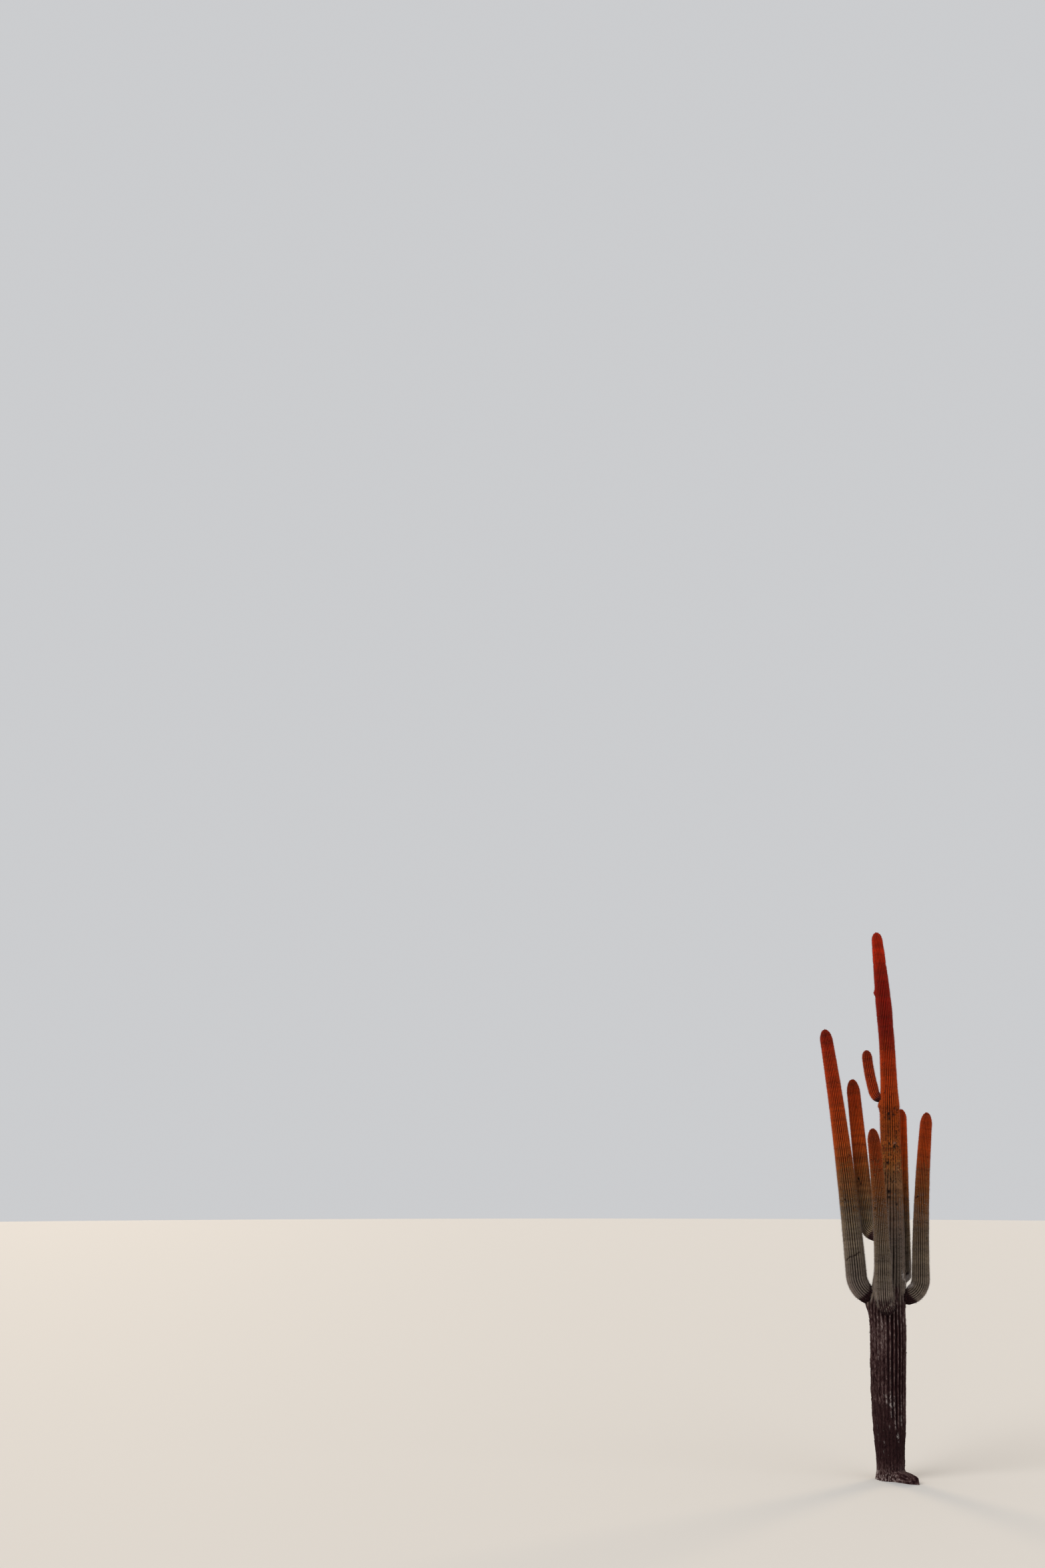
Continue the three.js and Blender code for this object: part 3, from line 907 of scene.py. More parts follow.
# %% All marks of an arm
# freckles to a metre of the arm, and their half width, height over width and darkness
ARM_FRECKLES = 22
ARM_FRECKLE_SIZE, ARM_FRECKLE_TALL, ARM_FRECKLE_DARKNESS = (0.005, 0.010), 1.4, (0.3, 0.9)


def arm_marks(name, arm, low, high):
    """The marks of an arm: the ones with a place of their own, and freckles at random."""
    marks = list(ARM_MARKS[name])
    for _ in range(round(ARM_FRECKLES * arm["rise"])):
        size = marks_random.uniform(*ARM_FRECKLE_SIZE)
        height, bearing = marks_random.uniform(low, high), marks_random.uniform(-180, 180)
        darkness = marks_random.uniform(*ARM_FRECKLE_DARKNESS)
        marks.append((height, bearing, size, size * ARM_FRECKLE_TALL, FRECKLE_DEPTH, darkness))
    return marks


for name, arm in ARMS.items():
    print(name, "gets", round(ARM_FRECKLES * arm["rise"]), "freckles")


# %% An arm near the trunk
# distances from the trunk where the neck is corky, and heights over the foot where all of this ends
NECK_CORK, NEAR_ROOT = (0.12, 0.02), (0.2, -0.25)
# painted shade darkens the skin under a line that starts this many girths over the root and falls this
# steeply
SHADE_RISE, SHADE_SLOPE, SHADE_SPREAD = 1.1, 1.15, 0.045
# the knee's edge in knee heights, how ragged it is and in lumps of what size, and the least knee
KNEE_EDGE, KNEE_RAGGED, KNEE_LUMPS, LEAST_KNEE = (1.3, 0.4), 1.5, (0.05, 0.05, 0.2), 0.001
# the crease along the trunk: how far from it the crease begins, and how deep it is
CREASE_REACH, CREASE_DEPTH = 0.07, 0.016


def near_trunk(arm, plain, low, seed):
    """How corky an arm's neck is at each point, how much painted shade darkens it under the elbow, how
    corky its knee, and how deep its crease.
    """
    height = plain[..., 2]
    out_of_trunk = np.hypot(plain[..., 0] - through(TRUNK_LINE, height), plain[..., 1])
    out_of_trunk = out_of_trunk - through(TRUNK_GIRTH, height)
    near_root = smooth(low + NEAR_ROOT[0], low + NEAR_ROOT[1], height)
    neck = smooth(*NECK_CORK, out_of_trunk) * near_root
    shade_line = arm["root"] + SHADE_RISE * arm["foot"] - SHADE_SLOPE * out_of_trunk
    painted_shade = smooth(SHADE_SPREAD, -SHADE_SPREAD, height - shade_line) * near_root
    above = (height - height.min()) / (arm["knee"] + LEAST_KNEE)
    knee = smooth(*KNEE_EDGE, above + KNEE_RAGGED * relief(plain, KNEE_LUMPS, seed + 2, 2)) * near_root
    crease = CREASE_DEPTH * smooth(CREASE_REACH, 0.0, out_of_trunk) * near_root
    return neck, painted_shade, knee, crease


print("an arm's neck is corky for", NECK_CORK[0], "m from the trunk")

# %% The skin of an arm
# depth of a groove, what painted shade or a corky knee takes from it, and how far waves and neck stand out
ARM_GROOVE, GROOVE_LOSS = 0.19, 0.6
ARM_WAVES, NECK_RELIEF = 0.002, 0.005
ROUGH_LUMPS, WAVE_LUMPS = (0.03, 0.03, 0.07), (0.10, 0.10, 0.20)
# lightness of a groove and what a crest adds, what painted shade takes away, and what the knee changes
ARM_LIGHT, CREST_ADDS, SHADE_LOSS, KNEE_ROUGH, KNEE_DARK = 0.10, 0.48, 0.75, 0.25, 0.06
# how much darker a tip is, how far from its end that fades, and how strong the growth bands are
TIP_LOSS, TIP_SHADE, ARM_BANDS = 0.35, (0.32, 0.04), 0.50


def arm_skin(name, arm, seed):
    """The grid of an arm's skin, and the numbers that its points carry."""
    middles, radii, places, tip_point = arm_rings(arm)
    frames = carried_frames(middles)
    drop = rib_drop(ARM_STEPS, arm["ribs"])[None, :]
    girths = radii[:, None] + 0 * drop
    plain = limb_points(middles, *frames, girths)
    height = plain[..., 2]
    bearing = np.arctan2(plain[..., 1] - middles[:, None, 1], plain[..., 0] - middles[:, None, 0])
    low, high = middles[:, 2].min() + arm["bend"], tip_point[2] - arm["dome"]
    dent, scar, pale = marked(bearing, height, girths, arm_marks(name, arm, low, high))
    neck, painted_shade, knee, crease = near_trunk(arm, plain, low, seed)
    rough = relief(plain, ROUGH_LUMPS, seed, 3)
    waves = relief(plain, WAVE_LUMPS, seed + 1, 2)
    bands = growth_bands(places[:, None] + 0 * girths, waves, seed + 3)

    grooves = ARM_GROOVE * (1 - GROOVE_LOSS * np.maximum(painted_shade, knee)) * drop
    radius = radii[:, None] * (1 - grooves) + ARM_WAVES * waves + NECK_RELIEF * neck * rough - dent - crease
    crest = 1 - drop + 0 * radius
    light = (ARM_LIGHT + CREST_ADDS * crest) * (1 - SHADE_LOSS * painted_shade)
    light = light + knee * (KNEE_ROUGH * rough - KNEE_DARK)
    banded = (1 - TIP_LOSS * smooth(*TIP_SHADE, tip_point[2] - height)) * (1 + ARM_BANDS * bands)
    # painted light and shade along the arm, times the darker tip and the growth bands
    stations = np.linspace(low, high, len(arm["bright"]))
    # painted shade under the elbow is drawn in the cork's dark tones, and like cork it loses its spines
    numbers = dict(
        crest=crest, cork=np.maximum(np.maximum(neck, painted_shade), knee), light=light, scar=scar, pale=pale,
        tone=height + arm["hue"], bright=np.interp(height, stations, arm["bright"]) * banded,
    )
    return limb_points(middles, *frames, radius), numbers


print("an arm's grooves are at most", ARM_GROOVE, "of its girth deep")

# %% The arms' pieces
FIRST_SEED = 20
skins = {"trunk": (trunk_skin, trunk_normals, TRUNK_STEPS, trunk_numbers)}

for seed, (name, arm) in enumerate(ARMS.items(), start=FIRST_SEED):
    middles, _, along, tip_point = arm_rings(arm)
    skin, numbers = arm_skin(name, arm, seed)
    skins[name] = (skin, grid_normals(skin), ARM_STEPS, numbers)
    rows, columns = skin.shape[:2]
    start, start_places = cap(0, columns, rows * columns, False)
    tip, tip_places = cap(rows - 1, columns, rows * columns + 1, True)
    points = np.concatenate([skin.reshape(-1, 3), [middles[0], tip_point]])
    numbers = {
        key: np.concatenate([values.ravel(), [values[0].mean(), values[-1].mean()]])
        for key, values in numbers.items()
    }
    faces = [grid_faces(rows, columns), start, tip]
    strips = max(1, round(math.sqrt(along[-1] / (2 * math.pi * arm["foot"]))))
    places = np.concatenate([strip_places(rows, columns, strips), start_places, tip_places])
    add_piece(name + "_skin", points, faces, places, [name, name + "_elbow"], numbers)


# %% [markdown]
# Areoles
#
# Each crest carries a row of areoles, small cushions of felt that the spines grow from. A scatter
# over the skin would miss the crests, and the plant would look furry and not ribbed. So a walk along
# each crest of each grid drops one areole every two centimetres or so. Cork and the painted shade
# under the elbows have lost most of them, crests that run together at a tip share theirs, and none
# sits inside another limb.

# %% A walk along the crests
# the gap between areoles and its spread, the rib width with all of them, and what cork, painted shade and
# scars lose
AREOLE_GAP, GAP_JITTER, FULL_ROOM = 0.022, 0.004, 0.019
CORK_LOSS, SCAR_LOSS = 0.97, 0.9
spine_random = np.random.default_rng(5)


def read_along(values, along, spots):
    """Values of a crest's points, read between the points."""
    return np.stack([np.interp(spots, along, values[:, k]) for k in range(values.shape[1])], -1)


def crest_walk(skin, normals, steps, numbers):
    """Places of a limb's areoles, directions outward and along the crest, its cork and painted shade, and
    its rib width.
    """
    found = []
    for column in range(0, skin.shape[1], steps):
        line = skin[:, column]
        along = lengths_along(line)
        room = np.linalg.norm(skin[:, (column + steps) % skin.shape[1]] - line, axis=1)
        loss = CORK_LOSS * numbers["cork"][:, column] + SCAR_LOSS * numbers["scar"][:, column]
        kept = np.clip(room / FULL_ROOM, 0, 1) * np.clip(1 - loss, 0, 1)
        spots = np.arange(spine_random.uniform(0, AREOLE_GAP), along[-1], AREOLE_GAP)
        spots = spots + spine_random.normal(0, GAP_JITTER, len(spots))
        spots = spots[spine_random.uniform(size=len(spots)) < np.interp(spots, along, kept)]
        state = np.stack([numbers["cork"][:, column], room, 0 * room], 1)
        four = (line, normals[:, column], np.gradient(line, axis=0), state)
        found.append(np.stack([read_along(values, along, spots) for values in four], 1))
    return np.concatenate(found)


print("a crest 1 m long has room for", int(1 / AREOLE_GAP), "areoles")

# %% Areoles inside another limb
# how far under another limb's skin an areole is before it is left out
UNDER_SKIN = 0.012


def inside_trunk(places):
    """Which places lie under the trunk's skin."""
    x, y, z = places.T
    middle = through(TRUNK_LINE, z)
    angle = np.arctan2(y, x - middle)
    surface = through(TRUNK_GIRTH, z) * dome_share(HEIGHT - z, TRUNK_DOME) + collar_swell(angle, z)
    return np.hypot(x - middle, y) < surface - UNDER_SKIN


def inside_arm(places, arm):
    """Which places lie under the skin of an arm."""
    middles, radii, _, _ = arm_rings(arm)
    hidden = np.zeros(len(places), bool)
    for middle, radius in zip(middles[::2], radii[::2]):
        hidden |= np.linalg.norm(places - middle, axis=1) < radius - UNDER_SKIN
    return hidden


middle_of_trunk = np.array([[float(through(TRUNK_LINE, 1.0)), 0, 1.0]])
print("the trunk's middle is inside it:", bool(inside_trunk(middle_of_trunk)[0]))

# %% The areoles of each limb
areoles = {}
for name, parts in skins.items():
    walk = crest_walk(*parts)
    if name == "trunk":
        hidden = np.any([inside_arm(walk[:, 0], arm) for arm in ARMS.values()], axis=0)
    else:
        hidden = inside_trunk(walk[:, 0])
    areoles[name] = walk[~hidden]
    print(name, "has", len(areoles[name]), "areoles and", int(hidden.sum()), "hidden ones less")


# %% [markdown]
# Tufts of spines
#
# A tuft has a star of short spines that lie almost flat, and a few long ones that stand out and point
# a little downwards. Where ribs are narrow the spines are shorter, or they would hide the grooves.
# Particles or instances would be the usual way, but they are lost when the model is exported, so the
# spines are real meshes. Each is a slim point with three sides, which is the fewest that looks round.
# All are worked out at once as arrays, a kind at a time.


# %% Directions at an areole
def unit_rows(vectors):
    """Each of many vectors brought to length one."""
    return vectors / np.maximum(np.linalg.norm(vectors, axis=-1, keepdims=True), 1e-9)


def directions(walk):
    """Places, outward, upward and sideways directions of areoles."""
    place, outward = walk[:, 0], unit_rows(walk[:, 1])
    upward = unit_rows(walk[:, 2] - outward * np.sum(walk[:, 2] * outward, -1, keepdims=True))
    return place, outward, upward, np.cross(outward, upward)


print("a direction brought to length one:", unit_rows(np.array([[3.0, 0, 4.0]]))[0])

# %% Spines as arrays
# lean is in degrees from straight out, and downward is how much the spines point down the limb
SPINES = {
    "flat": dict(count=8, length=(0.012, 0.024), lean=(60, 84), half_width=0.0011, downward=0),
    "standing": dict(count=3, length=(0.020, 0.036), lean=(10, 55), half_width=0.0012, downward=0.5),
}
# the rib width with spines of full length, the least share of that length, and how uneven a star is
WIDE_RIB, SHORTEST, TURN_JITTER = 0.044, 0.5, 0.25
# a spine is given its width across a direction that leans this much from up to sideways
SIDEWAYS_SHARE = 0.3
THIRDS = [2 * math.pi * k / 3 for k in range(3)]


def spine_points(walk, count, length, lean, half_width, downward):
    """Four points for each spine of each areole: three round its foot and its tip."""
    place, outward, upward, sideways = (v[:, None] for v in directions(walk))
    shape = (len(walk), count)
    turn = 2 * math.pi * (np.arange(count) / count + spine_random.uniform(size=(len(walk), 1)))
    turn = turn + spine_random.normal(0, TURN_JITTER, shape)
    lean = np.radians(spine_random.uniform(*lean, shape))[..., None]
    flat = upward * (np.cos(turn)[..., None] - downward) + sideways * np.sin(turn)[..., None]
    along = outward * np.cos(lean) + unit_rows(flat) * np.sin(lean)
    narrow = np.clip(walk[:, 3, 1] / WIDE_RIB, SHORTEST, 1)[:, None, None]
    size = spine_random.uniform(*length, shape)[..., None] * narrow
    first = unit_rows(np.cross(along, upward + SIDEWAYS_SHARE * sideways))
    second = np.cross(along, first)
    foot = place + along * half_width
    round_foot = [foot + half_width * (first * math.cos(a) + second * math.sin(a)) for a in THIRDS]
    return np.stack([*round_foot, foot + along * size], 2).reshape(-1, 4, 3)


def spine_faces(count):
    """Three sides for each spine."""
    sides = np.array([[0, 1, 3], [1, 2, 3], [2, 0, 3]])
    return (np.arange(count)[:, None, None] * 4 + sides).reshape(-1, 3)


print("a tuft has", sum(kind["count"] for kind in SPINES.values()), "spines")

# %% Cushions as arrays
# half width and half height, how far the middle stands out, how far the rim is sunk, and the sides
PAD_WIDE, PAD_TALL, PAD_PROUD, PAD_SUNK, PAD_SIDES = 0.0036, 0.0048, 0.003, 0.001, 6


def pad_points(walk):
    """A ring and a middle for each areole's cushion."""
    place, outward, upward, sideways = directions(walk)
    ring = [
        place + sideways * PAD_WIDE * math.cos(a) + upward * PAD_TALL * math.sin(a) - outward * PAD_SUNK
        for a in np.linspace(0, 2 * math.pi, PAD_SIDES, endpoint=False)
    ]
    return np.stack([*ring, place + outward * PAD_PROUD], 1)


def pad_faces(count):
    """One triangle for each side of each cushion."""
    side = np.arange(PAD_SIDES)
    one = np.stack([side, (side + 1) % PAD_SIDES, np.full(PAD_SIDES, PAD_SIDES)], -1)
    return (np.arange(count)[:, None, None] * (PAD_SIDES + 1) + one).reshape(-1, 3)


print("two cushions have", len(pad_faces(2)), "faces")

# %% [markdown]
# Tones of spines
#
# New spines at the tips are red, older ones straw and the oldest ash grey, and what is left of them
# in the cork, and in the painted shade under the elbows, is as dark as the bark. A pattern over height
# would be muddled on a mesh of so many small parts, so each tuft is dealt a tone by its height, with
# some chance so that the tones run into each other, and each tone is a piece with a plain colour. A
# tone with many tufts is dealt out over several pieces, each a little lighter or darker.

# %% Dealing out the tufts
# lowest height, colour of the spines, colour of the cushions
SPINE_TONES = {
    "bark": (-2, (0.070, 0.048, 0.040), (0.030, 0.019, 0.016)),
    "ash": (-1, (0.220, 0.170, 0.142), (0.070, 0.050, 0.041)),
    "straw": (4.35, (0.330, 0.140, 0.050), (0.110, 0.042, 0.016)),
    "rust": (5.0, (0.430, 0.070, 0.010), (0.150, 0.022, 0.005)),
    "ember": (6.9, (0.350, 0.036, 0.008), (0.120, 0.011, 0.004)),
}
# how far in height the tones run into each other, and the share of cork and painted shade over which a tuft
# counts as old bark
TONE_SPREAD, CORKY = 0.16, 0.4

walk = np.concatenate(list(areoles.values()))
height = walk[:, 0, 2] + spine_random.normal(0, TONE_SPREAD, len(walk))
lowest = np.array([tone[0] for tone in SPINE_TONES.values()])
dealt = np.searchsorted(lowest, height, side="right") - 1
# tufts in cork and in the painted shade under the elbows are dealt the bark's dark tone
dealt[walk[:, 3, 0] > CORKY] = 0
for number, tone in enumerate(SPINE_TONES):
    print(tone, "has", int((dealt == number).sum()), "tufts")


# %% A piece of many small parts
TRIANGLE_IN_CELL = np.array([[0.2, 0.2], [0.8, 0.2], [0.2, 0.8]])
spine_colours = {}


def triangle_cells(count):
    """A texture place of its own for each of many triangles, in rows of small cells."""
    across = math.ceil(math.sqrt(count))
    cell = np.stack([np.arange(count) % across, np.arange(count) // across], -1)[:, None]
    return ((cell + TRIANGLE_IN_CELL) / across).reshape(-1, 2)


def add_small(name, points, faces, colour):
    """A piece of many small parts, with its own plain colour."""
    cells = triangle_cells(len(faces))
    add_piece(name, points.reshape(-1, 3), [faces], cells, smooth_faces=False)
    spine_colours[name] = colour


print("5 triangles have", len(triangle_cells(5)), "corners on the sheet")

# %% The pieces of spines and cushions
# the most triangles in a piece of spines, how light or dark its colour is, and the triangles of a tuft
MOST_TRIANGLES = 190000
SHADES = (0.82, 1.12, 0.95, 1.25, 0.72, 1.04)
A_TUFT = 3 * sum(kind["count"] for kind in SPINES.values())

for number, (tone, (_, spine_colour, pad_colour)) in enumerate(SPINE_TONES.items()):
    chosen = spine_random.permutation(np.flatnonzero(dealt == number))
    shares = np.array_split(chosen, math.ceil(len(chosen) * A_TUFT / MOST_TRIANGLES))
    for part, share in enumerate(shares):
        points = np.concatenate([spine_points(walk[share], **kind) for kind in SPINES.values()])
        shade = SHADES[part % len(SHADES)]
        colour = [shade * c for c in spine_colour]
        add_small(f"spines_{tone}_{part + 1}", points, spine_faces(len(points)), colour)
    pads = pad_points(walk[chosen])
    add_small(f"areoles_{tone}", pads, pad_faces(len(pads)), pad_colour)


# %% [markdown]
# Shader maths as Python
#
# A material is a graph of nodes, and a graph is hard to read as code. So an output socket is
# wrapped in a small class that knows plus, minus, times and so on, and each sign adds a Math node.
# Colours and vectors go through Mix and Vector Math nodes, because a Math node would turn them grey.
# Every other node comes from one method, which takes its type, its settings and its inputs.


# %% A socket that can be calculated with
class Wire:
    """An output socket in a material. Numbers and wires combine with + - * and /."""

    def __init__(self, tree, socket):
        self.tree = tree
        self.socket = socket

    def node(self, kind, settings=None, inputs=None, output=0):
        """Any node of this material: its type, its settings and its inputs by name or number."""
        made = self.tree.nodes.new("ShaderNode" + kind)
        for key, value in (settings or {}).items():
            if key == "stops":
                set_stops(made.color_ramp, value)
            else:
                setattr(made, key, value)
        for key, value in (inputs or {}).items():
            if isinstance(value, Wire):
                self.tree.links.new(value.socket, made.inputs[key])
            else:
                made.inputs[key].default_value = value
        return Wire(self.tree, made.outputs[output])

    def maths(self, operation, *values):
        """A Math node of this material, with numbers or wires as its values."""
        return self.node("Math", {"operation": operation}, dict(enumerate(values)))

    def __add__(self, other):
        return self.maths("ADD", self, other)

    def __sub__(self, other):
        return self.maths("SUBTRACT", self, other)

    def __rsub__(self, other):
        return self.maths("SUBTRACT", other, self)

    def __mul__(self, other):
        return self.maths("MULTIPLY", self, other)

    def __truediv__(self, other):
        return self.maths("DIVIDE", self, other)

    def __rtruediv__(self, other):
        return self.maths("DIVIDE", other, self)

    __radd__ = __add__
    __rmul__ = __mul__

    def clamp(self):
        """The value held between 0 and 1."""
        return self.node("Clamp", inputs={"Value": self})

    def step(self, low, high):
        """0 below low, 1 above high and a smooth rise between."""
        span = {"Value": self, "From Min": low, "From Max": high}
        return self.node("MapRange", {"interpolation_type": "SMOOTHSTEP"}, span)

    def mix(self, first, second):
        """A colour between two, where this wire is the share of the second."""
        settings = {"data_type": "RGBA"}
        return self.node("Mix", settings, {0: self.clamp(), 6: first, 7: second}, output=2)

    def tint(self, colour):
        """This colour times another."""
        settings = {"data_type": "RGBA", "blend_type": "MULTIPLY"}
        return self.node("Mix", settings, {0: 1.0, 6: self, 7: colour}, output=2)

    def scaled(self, factors):
        """This vector times another, part by part."""
        return self.node("VectorMath", {"operation": "MULTIPLY"}, {0: self, 1: factors})

    def ramp(self, stops):
        """A colour read off a ramp of (place, colour) stops."""
        return self.node("ValToRGB", {"stops": stops}, {"Fac": self})


def set_stops(ramp, stops):
    """Gives a colour ramp its stops."""
    while len(ramp.elements) < len(stops):
        ramp.elements.new(1)
    for element, (place, _) in zip(ramp.elements, stops):
        element.position = place
    for element, (_, colour) in zip(ramp.elements, stops):
        element.color = (*colour, 1)


print("what a wire can do:", ", ".join(name for name in vars(Wire) if not name.startswith("_")))


# %% A new material
def new_material(name, **plain):
    """A material, a wire to start from, and a function that joins a wire to a socket of the shader."""
    material = bpy.data.materials.new(name)
    material.use_nodes = True
    tree = material.node_tree
    shader = tree.nodes["Principled BSDF"]
    for key, value in plain.items():
        shader.inputs[key.replace("_", " ")].default_value = value

    def join(key, wire):
        tree.links.new(wire.socket, shader.inputs[key])

    return material, Wire(tree, None), join


def noise_wire(start, place, scale, detail):
    """Smooth noise between 0 and 1."""
    return start.node("TexNoise", inputs={"Vector": place, "Scale": scale, "Detail": detail})


def grey(start, value):
    """A number as a grey colour."""
    return start.node("CombineColor", inputs={0: value, 1: value, 2: value})


print("materials so far:", len(bpy.data.materials))

# %% [markdown]
# The colours of the skin
#
# The skin's colour changes with height: grey-green on the lower arms, olive and khaki further up,
# and a deep rust red at the tips, which is partly the skin's own rusty tone and partly painted warm
# sunset light. A crest is paler than its groove, because spines and wax cover the crest and dust and
# shade sit in the groove. One list of tones over height gives two ramps, a light one for the crests
# and a dark one for the grooves, and the number that the skin's points carry mixes them. The arms
# keep the colours of greater heights further down than the trunk does. Five patterns of noise, from
# wide patches to pores, break the tones up and make the bump.

# %% Tones over height
# height and colour. The deep red of the upper heights is partly the skin's own and partly painted warm
# sunset light
TRUNK_TONES = [
    (0.0, (0.082, 0.058, 0.048)), (3.0, (0.090, 0.070, 0.054)), (3.7, (0.086, 0.063, 0.048)),
    (4.3, (0.118, 0.066, 0.040)), (4.90, (0.166, 0.074, 0.028)), (5.00, (0.186, 0.066, 0.014)),
    (5.7, (0.188, 0.036, 0.003)), (6.6, (0.305, 0.023, 0.001)), (7.3, (0.138, 0.005, 0.002)),
    (8.0, (0.208, 0.005, 0.002)), (8.38, (0.240, 0.009, 0.002)), (8.48, (0.372, 0.016, 0.002)),
    (HEIGHT, (0.360, 0.017, 0.002)),
]
# the arms' deep red at the upper heights is also partly painted warm sunset light
ARM_TONES = [
    (0.0, (0.104, 0.078, 0.068)), (3.0, (0.112, 0.088, 0.074)), (3.5, (0.116, 0.090, 0.064)),
    (4.0, (0.114, 0.082, 0.049)), (4.4, (0.108, 0.060, 0.028)), (4.95, (0.162, 0.046, 0.009)),
    (5.5, (0.250, 0.036, 0.003)), (6.2, (0.235, 0.021, 0.002)), (7.0, (0.212, 0.012, 0.002)),
    (HEIGHT, (0.145, 0.008, 0.002)),
]
# how much lighter the crests are than these tones, and how much darker the grooves
ON_CREST, IN_GROOVE = 1.6, 0.13


def over_height(stations, share):
    """Ramp stops from (height, colour) stations, with each colour brought up or down."""
    return [(height / HEIGHT, tuple(share * c for c in colour)) for height, colour in stations]


print("tones of the trunk and the arms:", len(TRUNK_TONES), "and", len(ARM_TONES), "heights")

# %% Tones of cork and marks
# how light the cork is, and its colour
CORK_TONES = [
    (0.0, (0.008, 0.002, 0.003)), (0.25, (0.026, 0.011, 0.011)), (0.5, (0.062, 0.036, 0.034)),
    (0.75, (0.135, 0.096, 0.090)), (1.0, (0.280, 0.235, 0.220)),
]
SCAR_TONE = (0.012, 0.006, 0.005)
PALE_TONE = (0.33, 0.29, 0.275)
print("tones of cork:", len(CORK_TONES))

# %% Patterns of the skin
# how many lumps a pattern has in a metre along x, y and z, and its octaves of noise
PATTERNS = {
    "patches": ((9, 9, 3), 4),
    "grain": ((70, 70, 30), 3),
    "streaks": ((60, 60, 5), 4),
    "splits": ((42, 42, 5), 3),
    "pores": ((190, 190, 120), 2),
}
print("patterns of the skin:", ", ".join(PATTERNS))

# %% Shares of the patterns
# how far patches move the tones up or down, in metres, and how far streaks fray the edge of a crest
TONE_WANDER, CREST_FRAY, CREST_SHOWN = 0.5, 0.35, (0.15, 0.95)
# what streaks and grain do to the cork's lightness, how wide its splits are, and the light in a split
# and what is added outside it
CORK_STREAKS, CORK_GRAIN, SPLIT_WIDTH, IN_SPLIT, OFF_SPLIT = 0.3, 0.4, 0.045, 0.45, 0.6
# the brightness of the skin without patches and grain, and what each adds
EVEN, PATCH_ADDS, GRAIN_ADDS = 0.62, 0.45, 0.35
# how strongly the grain breaks up pale callus, and how much of it is left out
PALE_GRAIN, PALE_START = 2.4, 0.4
# the gloss of the skin, its roughness, and what cork and grain add to that
SKIN_GLOSS, SKIN_ROUGHNESS, CORK_ROUGHNESS, GRAIN_ROUGHNESS = 0.08, 0.62, 0.25, 0.15
# the bump's strength and depth, and the share of each pattern in it
BUMP_STRENGTH, BUMP_DEPTH, BUMP_SHARE = 0.7, 0.004, 0.5
print("the skin's bump is up to", BUMP_DEPTH, "m deep")


# %% The skin's material
def cork_tone(start, light, grain, streaks, splits):
    """The colour of cork from its lightness, with fine splits along it. Noise has its middle at 0.5."""
    whole = start.maths("ABSOLUTE", splits - 0.5).step(0.0, SPLIT_WIDTH)
    mottled = light + (streaks - 0.5) * CORK_STREAKS + (grain - 0.5) * CORK_GRAIN
    return (mottled * (IN_SPLIT + OFF_SPLIT * whole)).ramp(CORK_TONES)


def skin_material(name, tones):
    """Ribbed skin that is green to rust, with cork, scars and pale callus, and the painted light and shade
    that its points carry.
    """
    material, start, join = new_material(name, Specular_IOR_Level=SKIN_GLOSS)
    place = start.node("TexCoord", output=3)
    crest, cork, light, scar, pale, tone_height, bright = (
        start.node("Attribute", {"attribute_name": key}, output=2)
        for key in ("crest", "cork", "light", "scar", "pale", "tone", "bright")
    )
    patches, grain, streaks, splits, pores = (
        noise_wire(start, place.scaled(lumps), 1.0, detail) for lumps, detail in PATTERNS.values()
    )
    blurred = (tone_height + (patches - 0.5) * TONE_WANDER) / HEIGHT
    shown = (crest + (streaks - 0.5) * CREST_FRAY).step(*CREST_SHOWN)
    green = shown.mix(
        blurred.ramp(over_height(tones, IN_GROOVE)), blurred.ramp(over_height(tones, ON_CREST))
    )
    # cork, and on the arms the painted shade under the elbows, take the cork's tones
    tone = cork.mix(green, cork_tone(start, light, grain, streaks, splits))
    # growth bands, darker tips and, on the arms, painted light and shade scale the tone
    tone = tone.tint(grey(start, bright * (EVEN + patches * PATCH_ADDS + grain * GRAIN_ADDS)))
    tone = (pale * (grain * PALE_GRAIN - PALE_START).clamp()).mix(tone, (*PALE_TONE, 1))
    join("Base Color", scar.mix(tone, (*SCAR_TONE, 1)))
    join("Roughness", SKIN_ROUGHNESS + CORK_ROUGHNESS * cork + GRAIN_ROUGHNESS * grain)
    depth = grain * BUMP_SHARE + streaks * BUMP_SHARE + pores * BUMP_SHARE
    inputs = {"Strength": BUMP_STRENGTH, "Distance": BUMP_DEPTH, "Height": depth}
    join("Normal", start.node("Bump", inputs=inputs))
    return material


# %% Skin on the trunk and the arms
trunk_material = skin_material("trunk_bark", TRUNK_TONES)
arm_material = skin_material("arm_skin", ARM_TONES)
for name, piece in PIECES.items():
    if name not in spine_colours:
        piece.data.materials.append(trunk_material if name.startswith("trunk") else arm_material)
        print(name, "has the material", piece.data.materials[0].name)


# %% [markdown]
# Spines and felt
#
# A spine is dry and dull with a faint shine, and the felt under it has none. Each piece has one plain
# colour, and only its roughness changes, a little, from spine to spine.

# %% The spines' materials
# how rough each is, and how glossy
DRY_FINISH = {"spines": (0.6, 0.3), "areoles": (0.85, 0.1)}
# lumps in a metre of the noise that makes the roughness uneven, and how uneven it is
UNEVEN_SCALE, UNEVEN = 60.0, 0.4

for name, colour in spine_colours.items():
    roughness, gloss = DRY_FINISH[name.split("_")[0]]
    material, start, join = new_material(name, Base_Color=(*colour, 1), Specular_IOR_Level=gloss)
    place = start.node("TexCoord", output=3)
    join("Roughness", roughness + (noise_wire(start, place, UNEVEN_SCALE, 2) - 0.5) * UNEVEN)
    PIECES[name].data.materials.append(material)
print("materials of spines and felt:", len(spine_colours))

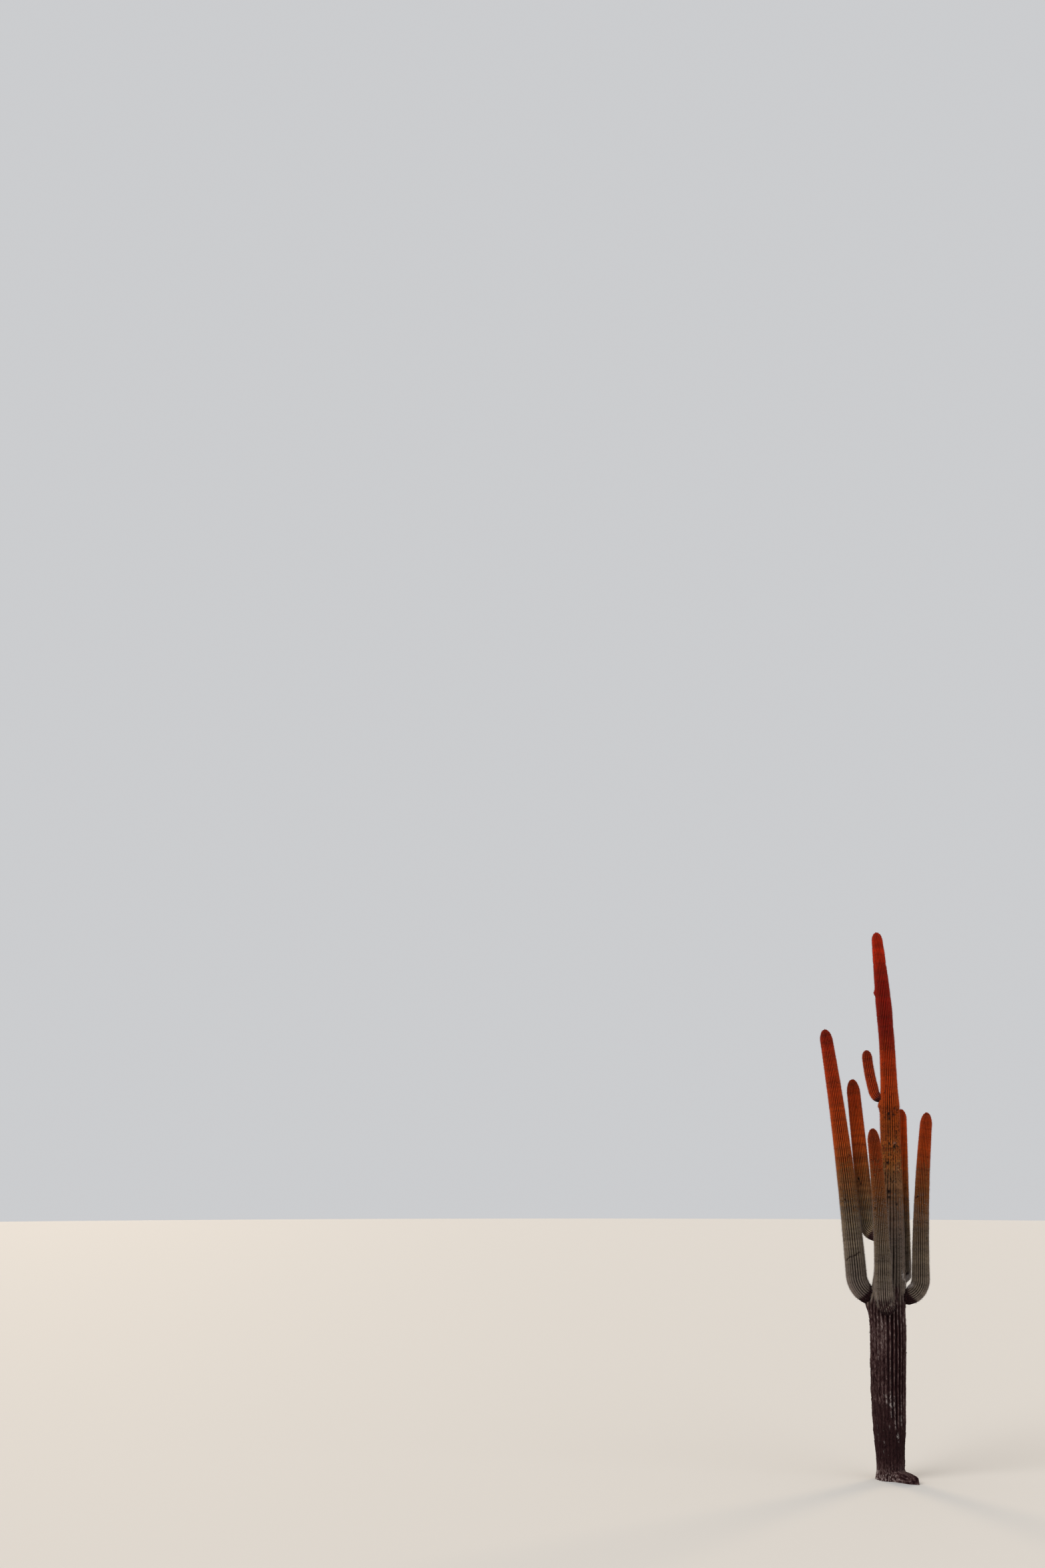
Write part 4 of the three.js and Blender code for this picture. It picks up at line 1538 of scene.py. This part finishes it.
# %% [markdown]
# Floor and light
#
# The plant stands on a plain pale floor under soft light. A lamp near a plant nine metres tall would
# light its top far more than its foot, so the lamps are suns, whose light is even everywhere. A wide
# angle makes their shadows soft, as a large softbox does. The main one comes from high at the front
# left, a weaker one fills the right side, and two warm low ones behind the plant light the spines
# along its outline.

# %% The floor
FLOOR_RADIUS, FLOOR_SIDES = 160, 96
FLOOR_TONE, FLOOR_ROUGHNESS = (0.56, 0.55, 0.53), 0.9
bpy.ops.mesh.primitive_circle_add(vertices=FLOOR_SIDES, radius=FLOOR_RADIUS, fill_type="NGON")
floor = bpy.context.object
floor.name = "floor"
floor_material, _, _ = new_material("floor", Base_Color=(*FLOOR_TONE, 1), Roughness=FLOOR_ROUGHNESS)
floor.data.materials.append(floor_material)
print("the floor is", 2 * FLOOR_RADIUS, "m wide")

# %% The lamps
# bearing is where a lamp stands, in degrees from +X, and rise is how high over the horizon
LAMPS = {
    "key": dict(bearing=-128, rise=38, strength=1.5, colour=(1.0, 0.97, 0.93), softness=35),
    "fill": dict(bearing=-35, rise=25, strength=0.55, colour=(0.95, 0.97, 1.0), softness=60),
    "rim_left": dict(bearing=122, rise=15, strength=1.4, colour=(1.0, 0.76, 0.5), softness=18),
    "rim_right": dict(bearing=58, rise=15, strength=1.4, colour=(1.0, 0.76, 0.5), softness=18),
}

for name, lamp in LAMPS.items():
    light = bpy.data.objects.new(name, bpy.data.lights.new(name, "SUN"))
    light.data.energy = lamp["strength"]
    light.data.color = lamp["colour"]
    light.data.angle = math.radians(lamp["softness"])
    bearing, rise = math.radians(lamp["bearing"]), math.radians(lamp["rise"])
    away = Vector((math.cos(bearing) * math.cos(rise), math.sin(bearing) * math.cos(rise), math.sin(rise)))
    light.rotation_euler = away.to_track_quat("Z", "Y").to_euler()
    bpy.context.scene.collection.objects.link(light)
print("lamps:", ", ".join(LAMPS))

# %% The background
BACKGROUND_TONE, BACKGROUND_STRENGTH = (0.80, 0.81, 0.83), 0.75
world = bpy.data.worlds.new("studio")
bpy.context.scene.world = world
world.use_nodes = True
sky = world.node_tree.nodes["Background"]
sky.inputs["Color"].default_value = (*BACKGROUND_TONE, 1)
sky.inputs["Strength"].default_value = BACKGROUND_STRENGTH
bpy.context.scene.view_settings.view_transform = "Standard"
print("background strength:", BACKGROUND_STRENGTH)

# %% [markdown]
